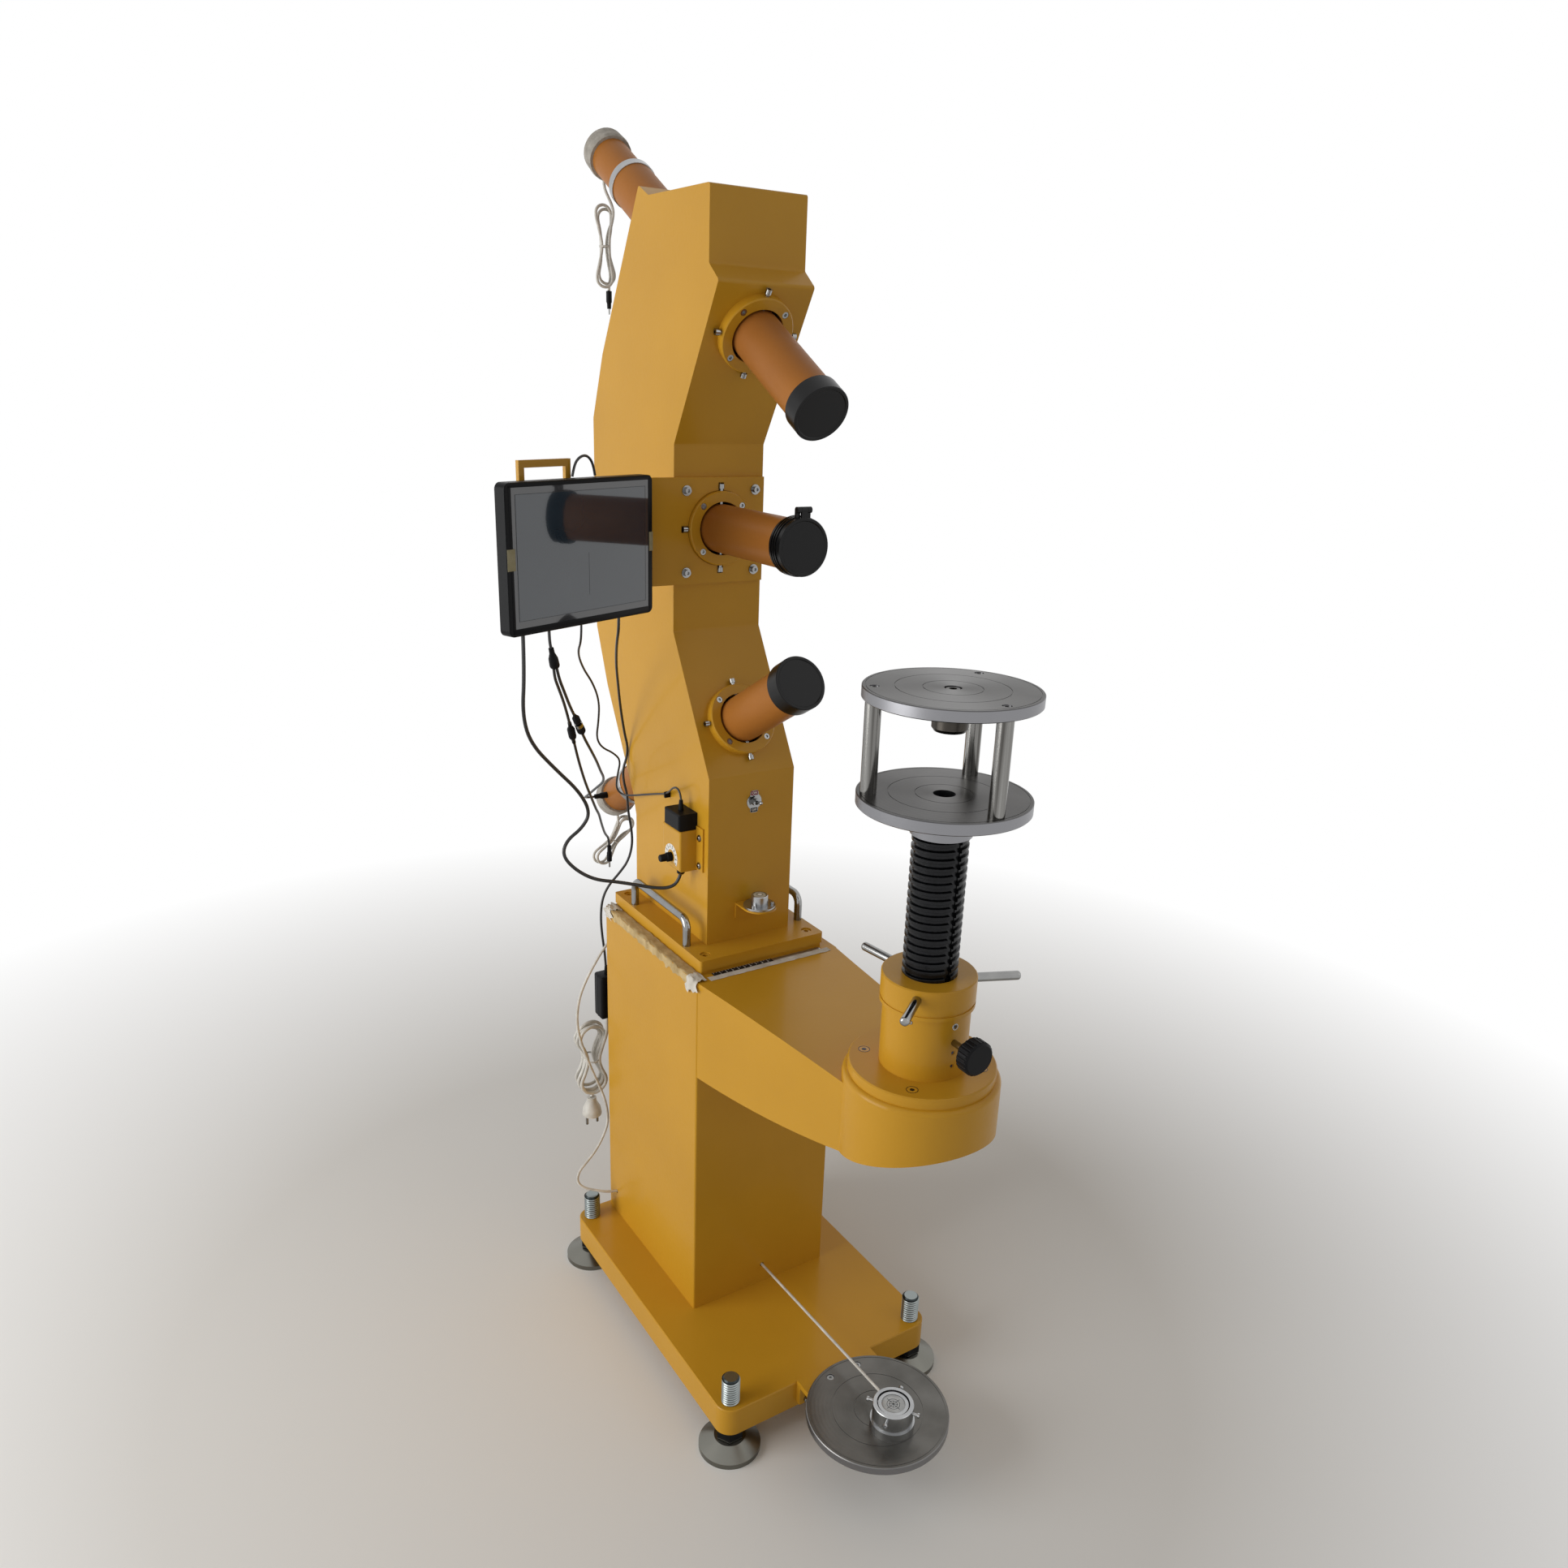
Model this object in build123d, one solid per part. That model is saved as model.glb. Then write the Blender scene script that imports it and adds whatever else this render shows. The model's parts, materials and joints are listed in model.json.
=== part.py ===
from build123d import *
from math import cos, pi, radians, sin, sqrt, tan
import os

# Three fixed collimators fanned over one instrument stand, used to test surveying instruments.
# All sizes are in millimetres. While the pieces are made, X = 0 is the plane of symmetry of the
# frame, Y = 0 and X = 0 is the axis of the instrument stand, and Z = 0 is the floor. The stand is
# at the front, towards -Y, and the column with the collimators is behind it, towards +Y.
# At the end everything is moved so that the origin is under the middle of the whole object.

# Clearances
fit_gap = 0.05
face_gap = 0.3

# Collimator fan: the three axes meet on the stand axis
axis_height = 1260.4
fan_angle = 30.0
top_face_distance = 510.0
middle_face_distance = 524.2
bottom_face_distance = 525.0
top_back_distance = 760.0
middle_back_distance = 784.0
bottom_back_distance = 781.0

# Column
column_width = 141.2
column_wall = 6.0
column_front_y = 415.4
column_bottom_z = 675.5
column_nose_y = 409.8
column_brow_y = 434.2
column_brow_rise = 329.9
column_top_rise = 418.8
column_top_rise_y = 598.6
column_peak_rise = 433.0
column_back_upper_rise = 223.8
column_back_mid_rise = 134.6
column_back_mid_cut = 25.0
column_back_lower_drop = 267.1
column_back_foot_drop = 422.4
column_rear_y = 646.7
column_rear_bend_drop = 455.4
tube_exit_start = 180.0
column_bend_radius = 4.0

# Column flange and its seat on the pedestal
flange_width = 211.0
flange_front_y = 370.4
flange_rear_y = 656.3
flange_thickness = 16.3
flange_corner_radius = 4.0
flange_bolt_x = 87.5
flange_bolt_front_y = 390.0
flange_bolt_rear_y = 640.0
flange_bolt_radius = 5.0
flange_bolt_head_radius = 7.2
flange_bolt_head_height = 9.0
flange_bolt_recess = 11.0
seat_height = 5.9
seat_margin = 3.0

# Pedestal and arm
pedestal_width = 241.0
pedestal_front_y = 353.0
pedestal_rear_y = 659.0
pedestal_wall = 12.0
pedestal_edge_radius = 3.0
arm_mid_width = 203.6
arm_mid_y = 186.0
boss_radius = 98.0
boss_rise = 13.7
boss_edge_radius = 7.0
boss_bore_radius = 36.5
arm_root_z = 499.0
arm_middle_point = (64.0, 548.0)
arm_tip_z = 604.0
cable_hole_radius = 3.5
side_hole_y = 630.5
side_hole_z = 122.8
front_hole_x = 4.5
front_hole_z = 115.3

# Base plate and feet
plate_width = 368.8
plate_front_y = 145.0
plate_rear_y = 665.0
plate_bottom_z = 38.0
plate_top_z = 82.0
plate_corner_radius = 24.0
plate_edge_radius = 3.0
foot_x = 162.0
foot_front_y = 166.0
foot_rear_y = 643.0
stud_radius = 12.0
stud_rise = 43.0
pad_radius = 45.0
pad_rim_height = 8.0
pad_height = 20.0
pad_neck_radius = 17.0
lock_nut_flats = 36.0
lock_nut_height = 15.0

# Instrument stand
housing_flange_radius = 91.3
housing_flange_height = 14.0
housing_radius = 53.7
housing_height = 82.5
housing_screw_circle = 73.0
housing_screw_angle = 42.0
housing_screw_radius = 4.0
housing_screw_head_radius = 7.0
set_screw_rises = (32.0, 50.0, 85.0)
set_screw_radius = 3.0
nut_radius = 57.8
nut_height = 37.9
nut_groove_width = 3.0
nut_groove_depth = 1.2
lever_radius = 5.75
lever_reach = 115.0
lever_height_on_nut = 26.3
lever_angles = (-143.0, -23.0, 97.0)
lever_thread_depth = 14.0
screw_radius = 33.5
screw_bore_radius = 13.0
screw_bottom_z = 600.0
collar_radius = 36.5
collar_bottom_z = 978.0
keyway_width = 9.0
keyway_depth = 4.5
disc_radius = 100.7
lower_disc_bottom_z = 1010.5
lower_disc_thickness = 14.4
upper_disc_top_z = 1147.7
upper_disc_thickness = 13.7
disc_edge_radius = 1.0
disc_groove_radii = (33.5, 64.5, 96.5)
disc_groove_width = 0.8
disc_groove_depth = 0.5
post_radius = 9.5
post_circle = 87.0
post_angles = (150.0, 30.0, -90.0)
post_screw_radius = 3.5
post_screw_head_radius = 5.0
post_screw_head_height = 4.0
centring_hole_radius = 8.0
centring_knob_radius = 21.0
centring_knob_height = 35.0
centring_bore_radius = 4.5
centring_stud_rise = 1.0
clamp_rise = 64.0
clamp_shaft_radius = 4.0
clamp_tip_radius = 3.5
clamp_knob_radius = 21.5
clamp_knob_near = 72.0
clamp_knob_far = 100.0
clamp_flutes = 24

# Collimators
tube_radius = 33.0
tube_bore_radius = 29.0
cap_wall = 3.95
cap_face = 4.0
cap_skirt = 25.0
cap_rim_width = 5.0
cap_recess = 1.2
top_cap_distance = 321.6
middle_cap_distance = 305.5
bottom_cap_distance = 347.1
lens_thickness = 9.0
lens_setback = 8.0
ring_radius = 51.0
ring_bore_radius = 36.5
ring_depth = 13.0
ring_edge_radius = 1.5
ring_screw_circle = 43.5
ring_screw_radius = 2.5
ring_screw_head_radius = 4.2
ring_screw_head_height = 4.5
ring_screw_length = 13.0
adjuster_radius = 2.5
adjuster_head_radius = 4.2
adjuster_head_height = 6.0
adjuster_reach = 60.0
rear_ring_distance = 905.0
rear_ring_width = 12.0
rear_ring_radius = 34.5
rear_barrel_radius = 29.0
rear_barrel_length = 83.0
rear_slot_width = 6.0
rear_slot_arc = 55.0
rear_slot_first_angle = 75.0
rear_slot_gap = 1.5
rear_slot_depth = 4.0
wrap_radius = 34.0
wrap_length = 34.0
wrap_overlap = 6.0

# Flip-up cap of the middle collimator
flip_lid_thickness = 4.2
flip_ring_length = 21.0
flip_ring_radius = 37.0
flip_rib_height = 1.2
flip_rib_width = 2.4
flip_hinge_height = 46.0
flip_knuckle_radius = 4.0
flip_pin_radius = 1.5
flip_lid_knuckle_width = 9.0
flip_ear_width = 6.0

# Mounting plate of the middle collimator and the monitor arm
mount_plate_thickness = 6.2
mount_plate_right_x = 69.2
mount_plate_left_x = -150.0
mount_plate_drop = 75.4
mount_plate_rise = 69.1
mount_hole_gap = 0.6
notch_width = 9.0
notch_reach = 62.0
mount_bolt_x = 54.5
mount_bolt_drop = 59.1
mount_bolt_rise = 51.9
mount_bolt_radius = 4.0
mount_bolt_head_radius = 4.6
mount_bolt_head_height = 5.0
washer_radius = 7.0
washer_thickness = 1.6

# Monitor
monitor_drop = 15.3
monitor_centre = (-236.9, 447.0, axis_height - monitor_drop)
monitor_yaw = 21.9
monitor_width = 257.3
monitor_height = 180.6
monitor_edge_depth = 20.0
monitor_corner_radius = 8.0
monitor_back_width = 190.0
monitor_back_height = 132.0
monitor_back_depth = 14.0
screen_width = 244.0
screen_height = 172.0
screen_recess = 2.0
screen_thickness = 1.6
key_first = 22.0
key_pitch = 14.0
key_count = 5
key_length = 9.0
key_width = 5.0
key_height = 1.0
key_pocket_depth = 2.0
swivel_along = 24.7
swivel_depth = 59.0
swivel_pin_radius = 4.0
swivel_eye_radius = 12.0
swivel_eye_height = 30.0
swivel_lug_height = 12.0
bracket_thickness = 5.0
bracket_left = -74.0
bracket_right = 58.0
bracket_drop = 55.1
bracket_rise = 50.9
strap_width = 9.0
strap_right = 13.0
strap_rise = 111.9

# Lamp control box on the column's side
box_depth = 29.0
box_front_y = 446.0
box_rear_y = 500.0
box_bottom_z = 784.0
box_top_z = 846.0
box_edge_radius = 3.0
box_tab_front_y = 427.0
box_tab_bottom_z = 786.0
box_tab_top_z = 852.0
box_tab_thickness = 2.5
box_screw_heights = (793.5, 836.0)
box_screw_y = 437.0
box_screw_radius = 2.0
gland_x = -90.0
gland_y = 461.0
gland_radius = 5.5
gland_length = 7.0
gland_bore_radius = 3.05
dimmer_y = 473.0
dimmer_z = 800.5
dimmer_radius = 7.0
dimmer_far_x = -118.5
dimmer_shaft_radius = 3.0
dimmer_shaft_length = 9.0
dimmer_flutes = 18
adapter_front_y = 448.0
adapter_rear_y = 494.0
adapter_height = 25.0
adapter_depth = 30.0
adapter_relief_y = 470.0
adapter_relief_radius = 4.0
adapter_relief_height = 15.0

# Lamp switch on the column's front
switch_x = 4.0
switch_drop = 42.9
switch_bush_radius = 6.0
switch_bush_length = 8.0
switch_nut_flats = 14.0
switch_nut_height = 2.2
switch_plate_radius = 12.0
switch_tab_width = 13.0
switch_plate_height = 33.0
switch_tab_corner = 3.0
switch_plate_thickness = 0.8
switch_bore_radius = 3.2
lever_ball_radius = 3.0
lever_length = 17.0
lever_tip_radius = 2.6
lever_root_radius = 1.6
lever_rest_angle = 12.0
lever_pin_radius = 0.8

# Round level on the column's front
level_y = 388.0
level_x = 1.0
level_tongue_z = 731.5
level_bracket_thickness = 2.5
level_bracket_width = 50.0
level_tab_drop = 22.0
level_plate_radius = 23.5
level_plate_thickness = 3.0
level_body_radius = 12.5
level_body_height = 15.0
level_glass_radius = 9.5
level_glass_height = 2.0
level_screw_circle = 18.5
level_screw_radius = 2.2
level_screw_height = 4.0

# Lift handles on the column flange
handle_x = 97.0
handle_front_y = 428.6
handle_rear_y = 598.6
handle_radius = 6.0
handle_bar_z = 716.0
handle_bend_radius = 15.0

# Floor target under the stand
target_y = 33.0
target_disc_radius = 101.0
target_disc_top_z = 98.0
target_disc_thickness = 12.0
target_screw_x = 24.0
target_screw_y = 115.0
target_screw_radius = 3.0
target_screw_head_radius = 5.0
target_bracket_left_x = -62.0
target_bracket_right_x = 68.0
target_bracket_bottom_z = 47.0
target_bracket_thickness = 9.0
target_tongue_front_y = 96.0
holder_base_radius = 31.0
holder_base_height = 13.0
holder_radius = 28.5
holder_height = 40.0
holder_bore_radius = 23.0
holder_bore_depth = 14.0
cell_radius = 21.5
cell_height = 12.5
cell_rim = 5.0
cell_recess = 1.2
holder_screw_first_angle = 35.0
holder_screw_radius = 2.0
holder_screw_head_radius = 3.4
holder_screw_reach = 38.0
holder_screw_drop = 8.0

# Small screw in the rising part of the column's top
top_screw_radius = 3.0
top_screw_length = 10.0
top_screw_head_radius = 5.5
top_screw_head_height = 6.0

# Cords: diameters and routes. A route's points are chosen by hand from where each cord lies.
power_diameter = 5.0
branch_diameter = 4.0
adapter_diameter = 3.0
brick_diameter = 4.0
white_diameter = 4.5
mains_diameter = 6.0
target_diameter = 4.0
video_fork_top = (-286.9, 444.1, 1129.0)
video_fork_bottom = (-279.0, 452.0, 1102.0)
left_connector = ((-232.0, 522.0, 1006.0), (-216.0, 545.0, 968.0))
right_connector = ((-231.0, 506.0, 1020.0), (-207.0, 535.0, 983.0))
clip_depth = 10.4
clip_y = (530.0, 536.0)
clip_z = (868.0, 880.0)
lamp_plug_top = (-32.0, 835.0, 682.0)
barrel_plug_end = (-rear_barrel_radius - face_gap, 848.7, 770.4)
brick_x = (-126.0, -94.0)
brick_y = (669.0, 699.0)
brick_z = (441.0, 519.0)
brick_lead_x = -110.0
top_hank_y = 888.0
top_hank_drop = 92.2
top_hank_size = (34.0, 16.0, 122.0)
lower_hank_x = -16.0
lower_hank_y = 850.0
lower_hank_exit_x = -8.0
lower_hank_drop = 46.0
lower_hank_size = (79.0, 16.0, 86.0)
mains_coil = (-134.0, 700.0, 352.0)
mains_coil_size = (52.0, 34.0, 146.0)
mains_plug_length = 34.0
mains_pin_radius = 2.4
mains_pin_length = 19.0
mains_pin_x = 9.5
rear_hole_x = -60.5
rear_hole_z = 592.0
power_route = [
    (-330.4, 425.6, 1154.7), (-330.4, 425.6, 1104), (-331, 437, 1048), (-314, 456, 1003), (-272, 479, 956),
    (-232, 493, 914), (-213, 500, 878), (-226, 500, 857), (-251, 498, 843), (-259, 495, 823),
    (-242, 491, 800), (-215, 487, 781), (-182, 482, 773), (-152, 477, 764), (-128, 471, 757),
    (-108, 465, 755), (-94, 462, 762), (-90, 461, 777),
]
left_branch_route = [
    (-289.6, 442, 1154.7), (-289.6, 442, 1139), (-286.2, 444.6, 1126), (-281.4, 451, 1102), (-278, 456, 1086), (-268, 470, 1070), (-251, 494, 1043), (-234, 519, 1010),
    (-215, 546, 966), (-202, 563, 934), (-181, 590, 891), (-158, 618, 852), (-141, 642, 826),
    (-125, 668, 808), (-108, 699, 782), (-85, 740, 750), (-64, 781, 727), (-47, 812, 710),
    (-36, 829, 698), (-32, 835, 682),
]
right_branch_route = [
    (-276.6, 453, 1102), (-272, 458, 1086), (-258, 474, 1062), (-241, 496, 1034), (-221, 518, 1005),
    (-203, 541, 976), (-184, 562, 950), (-160, 595, 920), (-138, 630, 891), (-116, 668, 868),
    (-99, 708, 845), (-92, 755, 819), (-86, 800, 793), (-76, 840, 774.5), (-52, 848.7, 770.4),
]
adapter_route = [
    (-85.6, 470, 886.3), (-86, 471.5, 896), (-86.6, 481, 902), (-86, 495, 897), (-81, 513, 886),
    (-77, 533, 875), (-75, 565, 865), (-76, 602, 853), (-80, 638, 841), (-89, 657, 837),
    (-98, 663, 848), (-98, 656, 873), (-96, 648, 898), (-112, 641, 914), (-134, 634, 927),
    (-146, 626, 946), (-150, 608, 976), (-158, 586, 1012), (-178, 561, 1046), (-205, 535, 1077),
    (-228, 498, 1108), (-236.6, 463.3, 1131), (-236.6, 463.3, 1154.7),
]
brick_route = [
    (-171.2, 489.5, 1154.7), (-171.2, 489.5, 1136), (-164, 511, 1116), (-151, 542, 1091), (-136, 574, 1062),
    (-121, 601, 1031), (-107, 626, 998), (-95, 644, 966), (-83, 660, 934), (-74, 669, 912),
    (-73, 674, 893), (-81, 673, 874), (-80, 672, 853), (-73, 674, 831), (-71, 676, 801),
    (-64, 678, 768), (-62, 680, 740), (-69, 682, 713), (-84, 684, 694), (-103, 686, 675),
    (-114, 687, 652), (-117, 687, 620), (-115, 686, 586), (-111, 685, 552), (-110, 684, 519),
]
feed_route = [
    (-114.5, 630.5, 122.8), (-136, 632, 126), (-156, 640, 132), (-174, 649, 137), (-184, 657, 149),
    (-177, 662, 165), (-160, 665, 177), (-141, 669, 192), (-126, 672, 213), (-115, 673, 240),
    (-120, 674, 284), (-138, 676, 334), (-157, 678, 390), (-168, 679, 440), (-163, 678, 487),
    (-149, 675, 523), (-133, 673, 551), (-118, 674, 571), (-100, 679, 584), (-82, 681, 590),
    (-67, 675, 592), (-61, 662, 592), (-60.5, 650, 592),
]
target_route = [(4.5, 358.0, 115.3), (1.2, 29.0, 130.0)]


def block(x0, x1, y0, y1, z0, z1):
    """A box between two corners."""
    middle = ((x0 + x1) / 2, (y0 + y1) / 2, (z0 + z1) / 2)
    return Pos(*middle) * Box(abs(x1 - x0), abs(y1 - y0), abs(z1 - z0))


def rod(radius, height, x=0.0, y=0.0, z=0.0):
    """An upright cylinder that stands on z."""
    return Pos(x, y, z + height / 2) * Cylinder(radius, height)


def turned(profile):
    """A solid of revolution about Z from (radius, height) points."""
    face = make_face(Polyline(*profile, close=True))
    return revolve(Plane.XZ * face, Axis.Z)


def polar(radius, angle):
    """The X and Y of a point on a circle round Z."""
    return radius * cos(radians(angle)), radius * sin(radians(angle))


def toward(direction, origin=(0.0, 0.0, 0.0)):
    """A place whose Z axis points along a direction, with X kept level where it can be."""
    return Plane(origin=origin, z_dir=direction).location


def collimator(tilt):
    """The place of a collimator: the origin where the axes meet, Z along the tube to the back."""
    along = (0.0, cos(radians(tilt)), sin(radians(tilt)))
    return Plane(origin=(0.0, 0.0, axis_height), x_dir=(1.0, 0.0, 0.0), z_dir=along).location


def hexagon(flats, height, x=0.0, y=0.0, z=0.0):
    """A hexagon prism that stands on z."""
    outline = RegularPolygon(flats / 2, 6, major_radius=False)
    return Pos(x, y, z) * extrude(outline, height)


tilts = {"top": fan_angle, "middle": 0.0, "bottom": -fan_angle}
face_distance = {"top": top_face_distance, "middle": middle_face_distance, "bottom": bottom_face_distance}
cap_distance = {"top": top_cap_distance, "middle": middle_cap_distance, "bottom": bottom_cap_distance}
flange_bottom_z = column_bottom_z - flange_thickness
boss_top_z = flange_bottom_z - seat_height + boss_rise
pedestal_top_z = flange_bottom_z - seat_height
housing_bottom_z = boss_top_z
clamp_z = housing_bottom_z + clamp_rise
housing_top_z = housing_bottom_z + housing_flange_height + housing_height
nut_bottom_z = housing_top_z + face_gap / 2
nut_top_z = nut_bottom_z + nut_height
lower_disc_top_z = lower_disc_bottom_z + lower_disc_thickness
upper_disc_bottom_z = upper_disc_top_z - upper_disc_thickness
column_side_x = column_width / 2
column_top_z = axis_height + column_top_rise
column_peak_z = axis_height + column_peak_rise


def axis_y_at(distance, tilt, z):
    """The Y where a face across a tilted axis, at a distance along it, has the height z."""
    return (distance - (z - axis_height) * sin(radians(tilt))) / cos(radians(tilt))


def axis_z_at(distance, tilt, y):
    """The height where a face across a tilted axis, at a distance along it, has the place y."""
    return axis_height + (distance - y * cos(radians(tilt))) / sin(radians(tilt))


front_bend_z = axis_z_at(bottom_face_distance, -fan_angle, column_front_y)
switch_z = front_bend_z - switch_drop


def column_outline():
    """The side view of the column, with its bends rounded."""
    up = fan_angle
    down = -fan_angle
    mid_y = middle_face_distance
    upper_z = axis_height + column_back_upper_rise
    lower_z = axis_height - column_back_lower_drop
    foot_z = axis_height - column_back_foot_drop
    points = [
        (column_front_y, column_bottom_z),
        (column_front_y, front_bend_z),
        (mid_y, axis_z_at(bottom_face_distance, down, mid_y)),
        (mid_y, axis_z_at(top_face_distance, up, mid_y)),
        (column_nose_y, axis_z_at(top_face_distance, up, column_nose_y)),
        (column_brow_y, axis_height + column_brow_rise),
        (column_brow_y, column_top_z),
        (column_top_rise_y, column_top_z),
        (axis_y_at(top_back_distance, up, column_peak_z), column_peak_z),
        (axis_y_at(top_back_distance, up, upper_z), upper_z),
        (middle_back_distance, axis_height + column_back_mid_rise),
        (middle_back_distance, axis_z_at(bottom_back_distance, down, middle_back_distance) + column_back_mid_cut),
        (axis_y_at(bottom_back_distance, down, lower_z), lower_z),
        (axis_y_at(bottom_back_distance, down, foot_z), foot_z),
        (column_rear_y, axis_height - column_rear_bend_drop),
        (column_rear_y, column_bottom_z),
    ]
    return make_face(Polyline(*points, close=True))


def make_column_shell():
    """The welded sheet column, open at the bottom, with bores for the three tubes."""
    outline = column_outline()
    bends = [v for v in outline.vertices() if v.Y > column_bottom_z + 1]
    outer = extrude(Plane.YZ * fillet(bends, column_bend_radius), column_side_x, both=True)
    inner_face = offset(outline, -column_wall, kind=Kind.INTERSECTION)
    inner = extrude(Plane.YZ * inner_face, column_side_x - column_wall, both=True)
    shell = outer - inner
    for name, tilt in tilts.items():
        bore = collimator(tilt) * rod(ring_bore_radius, column_wall * 3, z=face_distance[name] - column_wall)
        shell -= bore
        shell -= collimator(tilt) * rod(tube_radius, column_rear_y - column_front_y, z=face_distance[name] + tube_exit_start)
        for x, y in ring_screw_places():
            shell -= collimator(tilt) * rod(ring_screw_radius, column_wall * 2, x, y, face_distance[name] - 1)
    for x, z in mount_bolt_places():
        shell -= toward((0, 1, 0), (x, middle_face_distance - 1, z)) * rod(mount_bolt_radius, column_wall + 1)
    shell -= top_screw_place() * rod(top_screw_radius, 4 * column_wall, z=-2 * column_wall)
    shell -= toward((0, 1, 0), (switch_x, column_front_y - 1, switch_z)) * rod(switch_bush_radius, column_wall + 2)
    return shell


def top_screw_place():
    """The middle of the column's rising top, with Z square to it."""
    peak_y = axis_y_at(top_back_distance, fan_angle, column_peak_z)
    run = peak_y - column_top_rise_y
    rise = column_peak_z - column_top_z
    return toward((0, -rise, run), (0, column_top_rise_y + run / 2, column_top_z + rise / 2))


def corner_places(half_x, front_y, rear_y):
    """The four places of a pattern that is even about X = 0."""
    return [(side * half_x, y) for y in (front_y, rear_y) for side in (-1, 1)]


def cap_screw(head_radius, head_height, shank_radius, length):
    """A socket head screw whose head stands on Z = 0 and whose shank hangs below."""
    screw = rod(head_radius, head_height) + rod(shank_radius, length, z=-length)
    return screw - hexagon(head_radius * 0.95, head_height / 2, z=head_height / 2)


def make_column_flange():
    """The thick flange under the column, with a counterbored hole at each corner."""
    half = flange_width / 2
    plate = block(-half, half, flange_front_y, flange_rear_y, flange_bottom_z, column_bottom_z)
    plate = fillet(plate.edges().filter_by(Axis.Z), flange_corner_radius)
    for x, y in corner_places(flange_bolt_x, flange_bolt_front_y, flange_bolt_rear_y):
        plate -= rod(flange_bolt_radius, flange_thickness, x, y, flange_bottom_z)
        recess_z = column_bottom_z - flange_bolt_recess
        plate -= rod(flange_bolt_head_radius + 0.6, flange_bolt_recess, x, y, recess_z)
    return plate


def make_flange_bolts():
    """Four socket head bolts that hold the column flange on the pedestal."""
    bolts = []
    grip = flange_thickness - flange_bolt_recess + seat_height + 14.0
    for x, y in corner_places(flange_bolt_x, flange_bolt_front_y, flange_bolt_rear_y):
        bolt = cap_screw(flange_bolt_head_radius, flange_bolt_head_height, flange_bolt_radius, grip)
        bolts.append(Pos(x, y, column_bottom_z - flange_bolt_recess) * bolt)
    return bolts


def arm_plan():
    """The arm from above: two gently bowed sides that run into the round boss."""
    root_y = pedestal_front_y + pedestal_wall
    meet_y = 0.4 * boss_radius
    meet_x = sqrt(boss_radius ** 2 - meet_y ** 2)
    half_root = pedestal_width / 2
    half_mid = arm_mid_width / 2
    right = ThreePointArc((half_root, root_y), (half_mid, arm_mid_y), (meet_x, meet_y))
    left = ThreePointArc((-meet_x, meet_y), (-half_mid, arm_mid_y), (-half_root, root_y))
    edges = [right, Line((meet_x, meet_y), (-meet_x, meet_y)), left]
    edges.append(Line((-half_root, root_y), (half_root, root_y)))
    return make_face(Wire(edges))


def space_under_arm():
    """The space under the arm, below its arched underside."""
    root_y = pedestal_front_y + pedestal_wall
    tip_y = -boss_radius - 5.0
    under = ThreePointArc((root_y, arm_root_z), arm_middle_point, (tip_y, arm_tip_z))
    rest = Polyline((tip_y, arm_tip_z), (tip_y, plate_top_z), (root_y, plate_top_z), (root_y, arm_root_z))
    face = make_face(Wire([under, *rest.edges()]))
    return extrude(Plane.YZ * face, pedestal_width, both=True)


def make_pedestal():
    """The welded pedestal with its cantilever arm and the round boss that holds the stand."""
    half = pedestal_width / 2
    body = block(-half, half, pedestal_front_y, pedestal_rear_y, plate_top_z, pedestal_top_z)
    body = fillet(body.edges().filter_by(Axis.Z), pedestal_edge_radius)
    wall = pedestal_wall
    cavity_top_z = pedestal_top_z - 2.5 * wall
    cavity = block(
        wall - half, half - wall, pedestal_front_y + wall, pedestal_rear_y - wall, plate_top_z, cavity_top_z
    )
    arm_low_z = arm_root_z - 10.0
    boss = rod(boss_radius, boss_top_z - arm_low_z, z=arm_low_z)
    boss = fillet(boss.edges().filter_by(GeomType.CIRCLE).sort_by(Axis.Z)[-1], boss_edge_radius)
    arm = extrude(Pos(0, 0, arm_low_z) * arm_plan(), pedestal_top_z - arm_low_z) + boss
    arm -= space_under_arm()
    seat_half = flange_width / 2 - seat_margin
    seat = block(
        -seat_half, seat_half, flange_front_y + seat_margin, flange_rear_y - seat_margin,
        pedestal_top_z, flange_bottom_z,
    )
    weldment = (body - cavity) + arm + seat
    weldment -= rod(boss_bore_radius, boss_top_z - arm_low_z, z=arm_low_z)
    bolt_depth = seat_height + 14.0
    for x, y in corner_places(flange_bolt_x, flange_bolt_front_y, flange_bolt_rear_y):
        weldment -= rod(flange_bolt_radius, bolt_depth, x, y, flange_bottom_z - bolt_depth)
    for x, y in housing_screw_places():
        weldment -= rod(housing_screw_radius, 20.0, x, y, boss_top_z - 20.0)
    side_hole = toward((1, 0, 0), (-half - 1, side_hole_y, side_hole_z)) * rod(cable_hole_radius, wall + 2)
    front_hole = toward((0, 1, 0), (front_hole_x, pedestal_front_y - 1, front_hole_z))
    rear_hole = toward((0, -1, 0), (rear_hole_x, pedestal_rear_y + 1, rear_hole_z))
    weldment -= rear_hole * rod(cable_hole_radius, wall + 2)
    return weldment - side_hole - front_hole * rod(cable_hole_radius, wall + 2)


def foot_places():
    """The four feet, by name."""
    return {
        "front_left": (-foot_x, foot_front_y),
        "front_right": (foot_x, foot_front_y),
        "rear_left": (-foot_x, foot_rear_y),
        "rear_right": (foot_x, foot_rear_y),
    }


def make_base_plate():
    """The thick base plate with its four threaded stud holes."""
    half = plate_width / 2
    plate = block(-half, half, plate_front_y, plate_rear_y, plate_bottom_z, plate_top_z)
    plate = fillet(plate.edges().filter_by(Axis.Z), plate_corner_radius)
    plate = chamfer(plate.edges().group_by(Axis.Z)[-1], plate_edge_radius / 2)
    for x, y in foot_places().values():
        plate -= rod(stud_radius + fit_gap, plate_top_z - plate_bottom_z, x, y, plate_bottom_z)
    return plate


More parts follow.
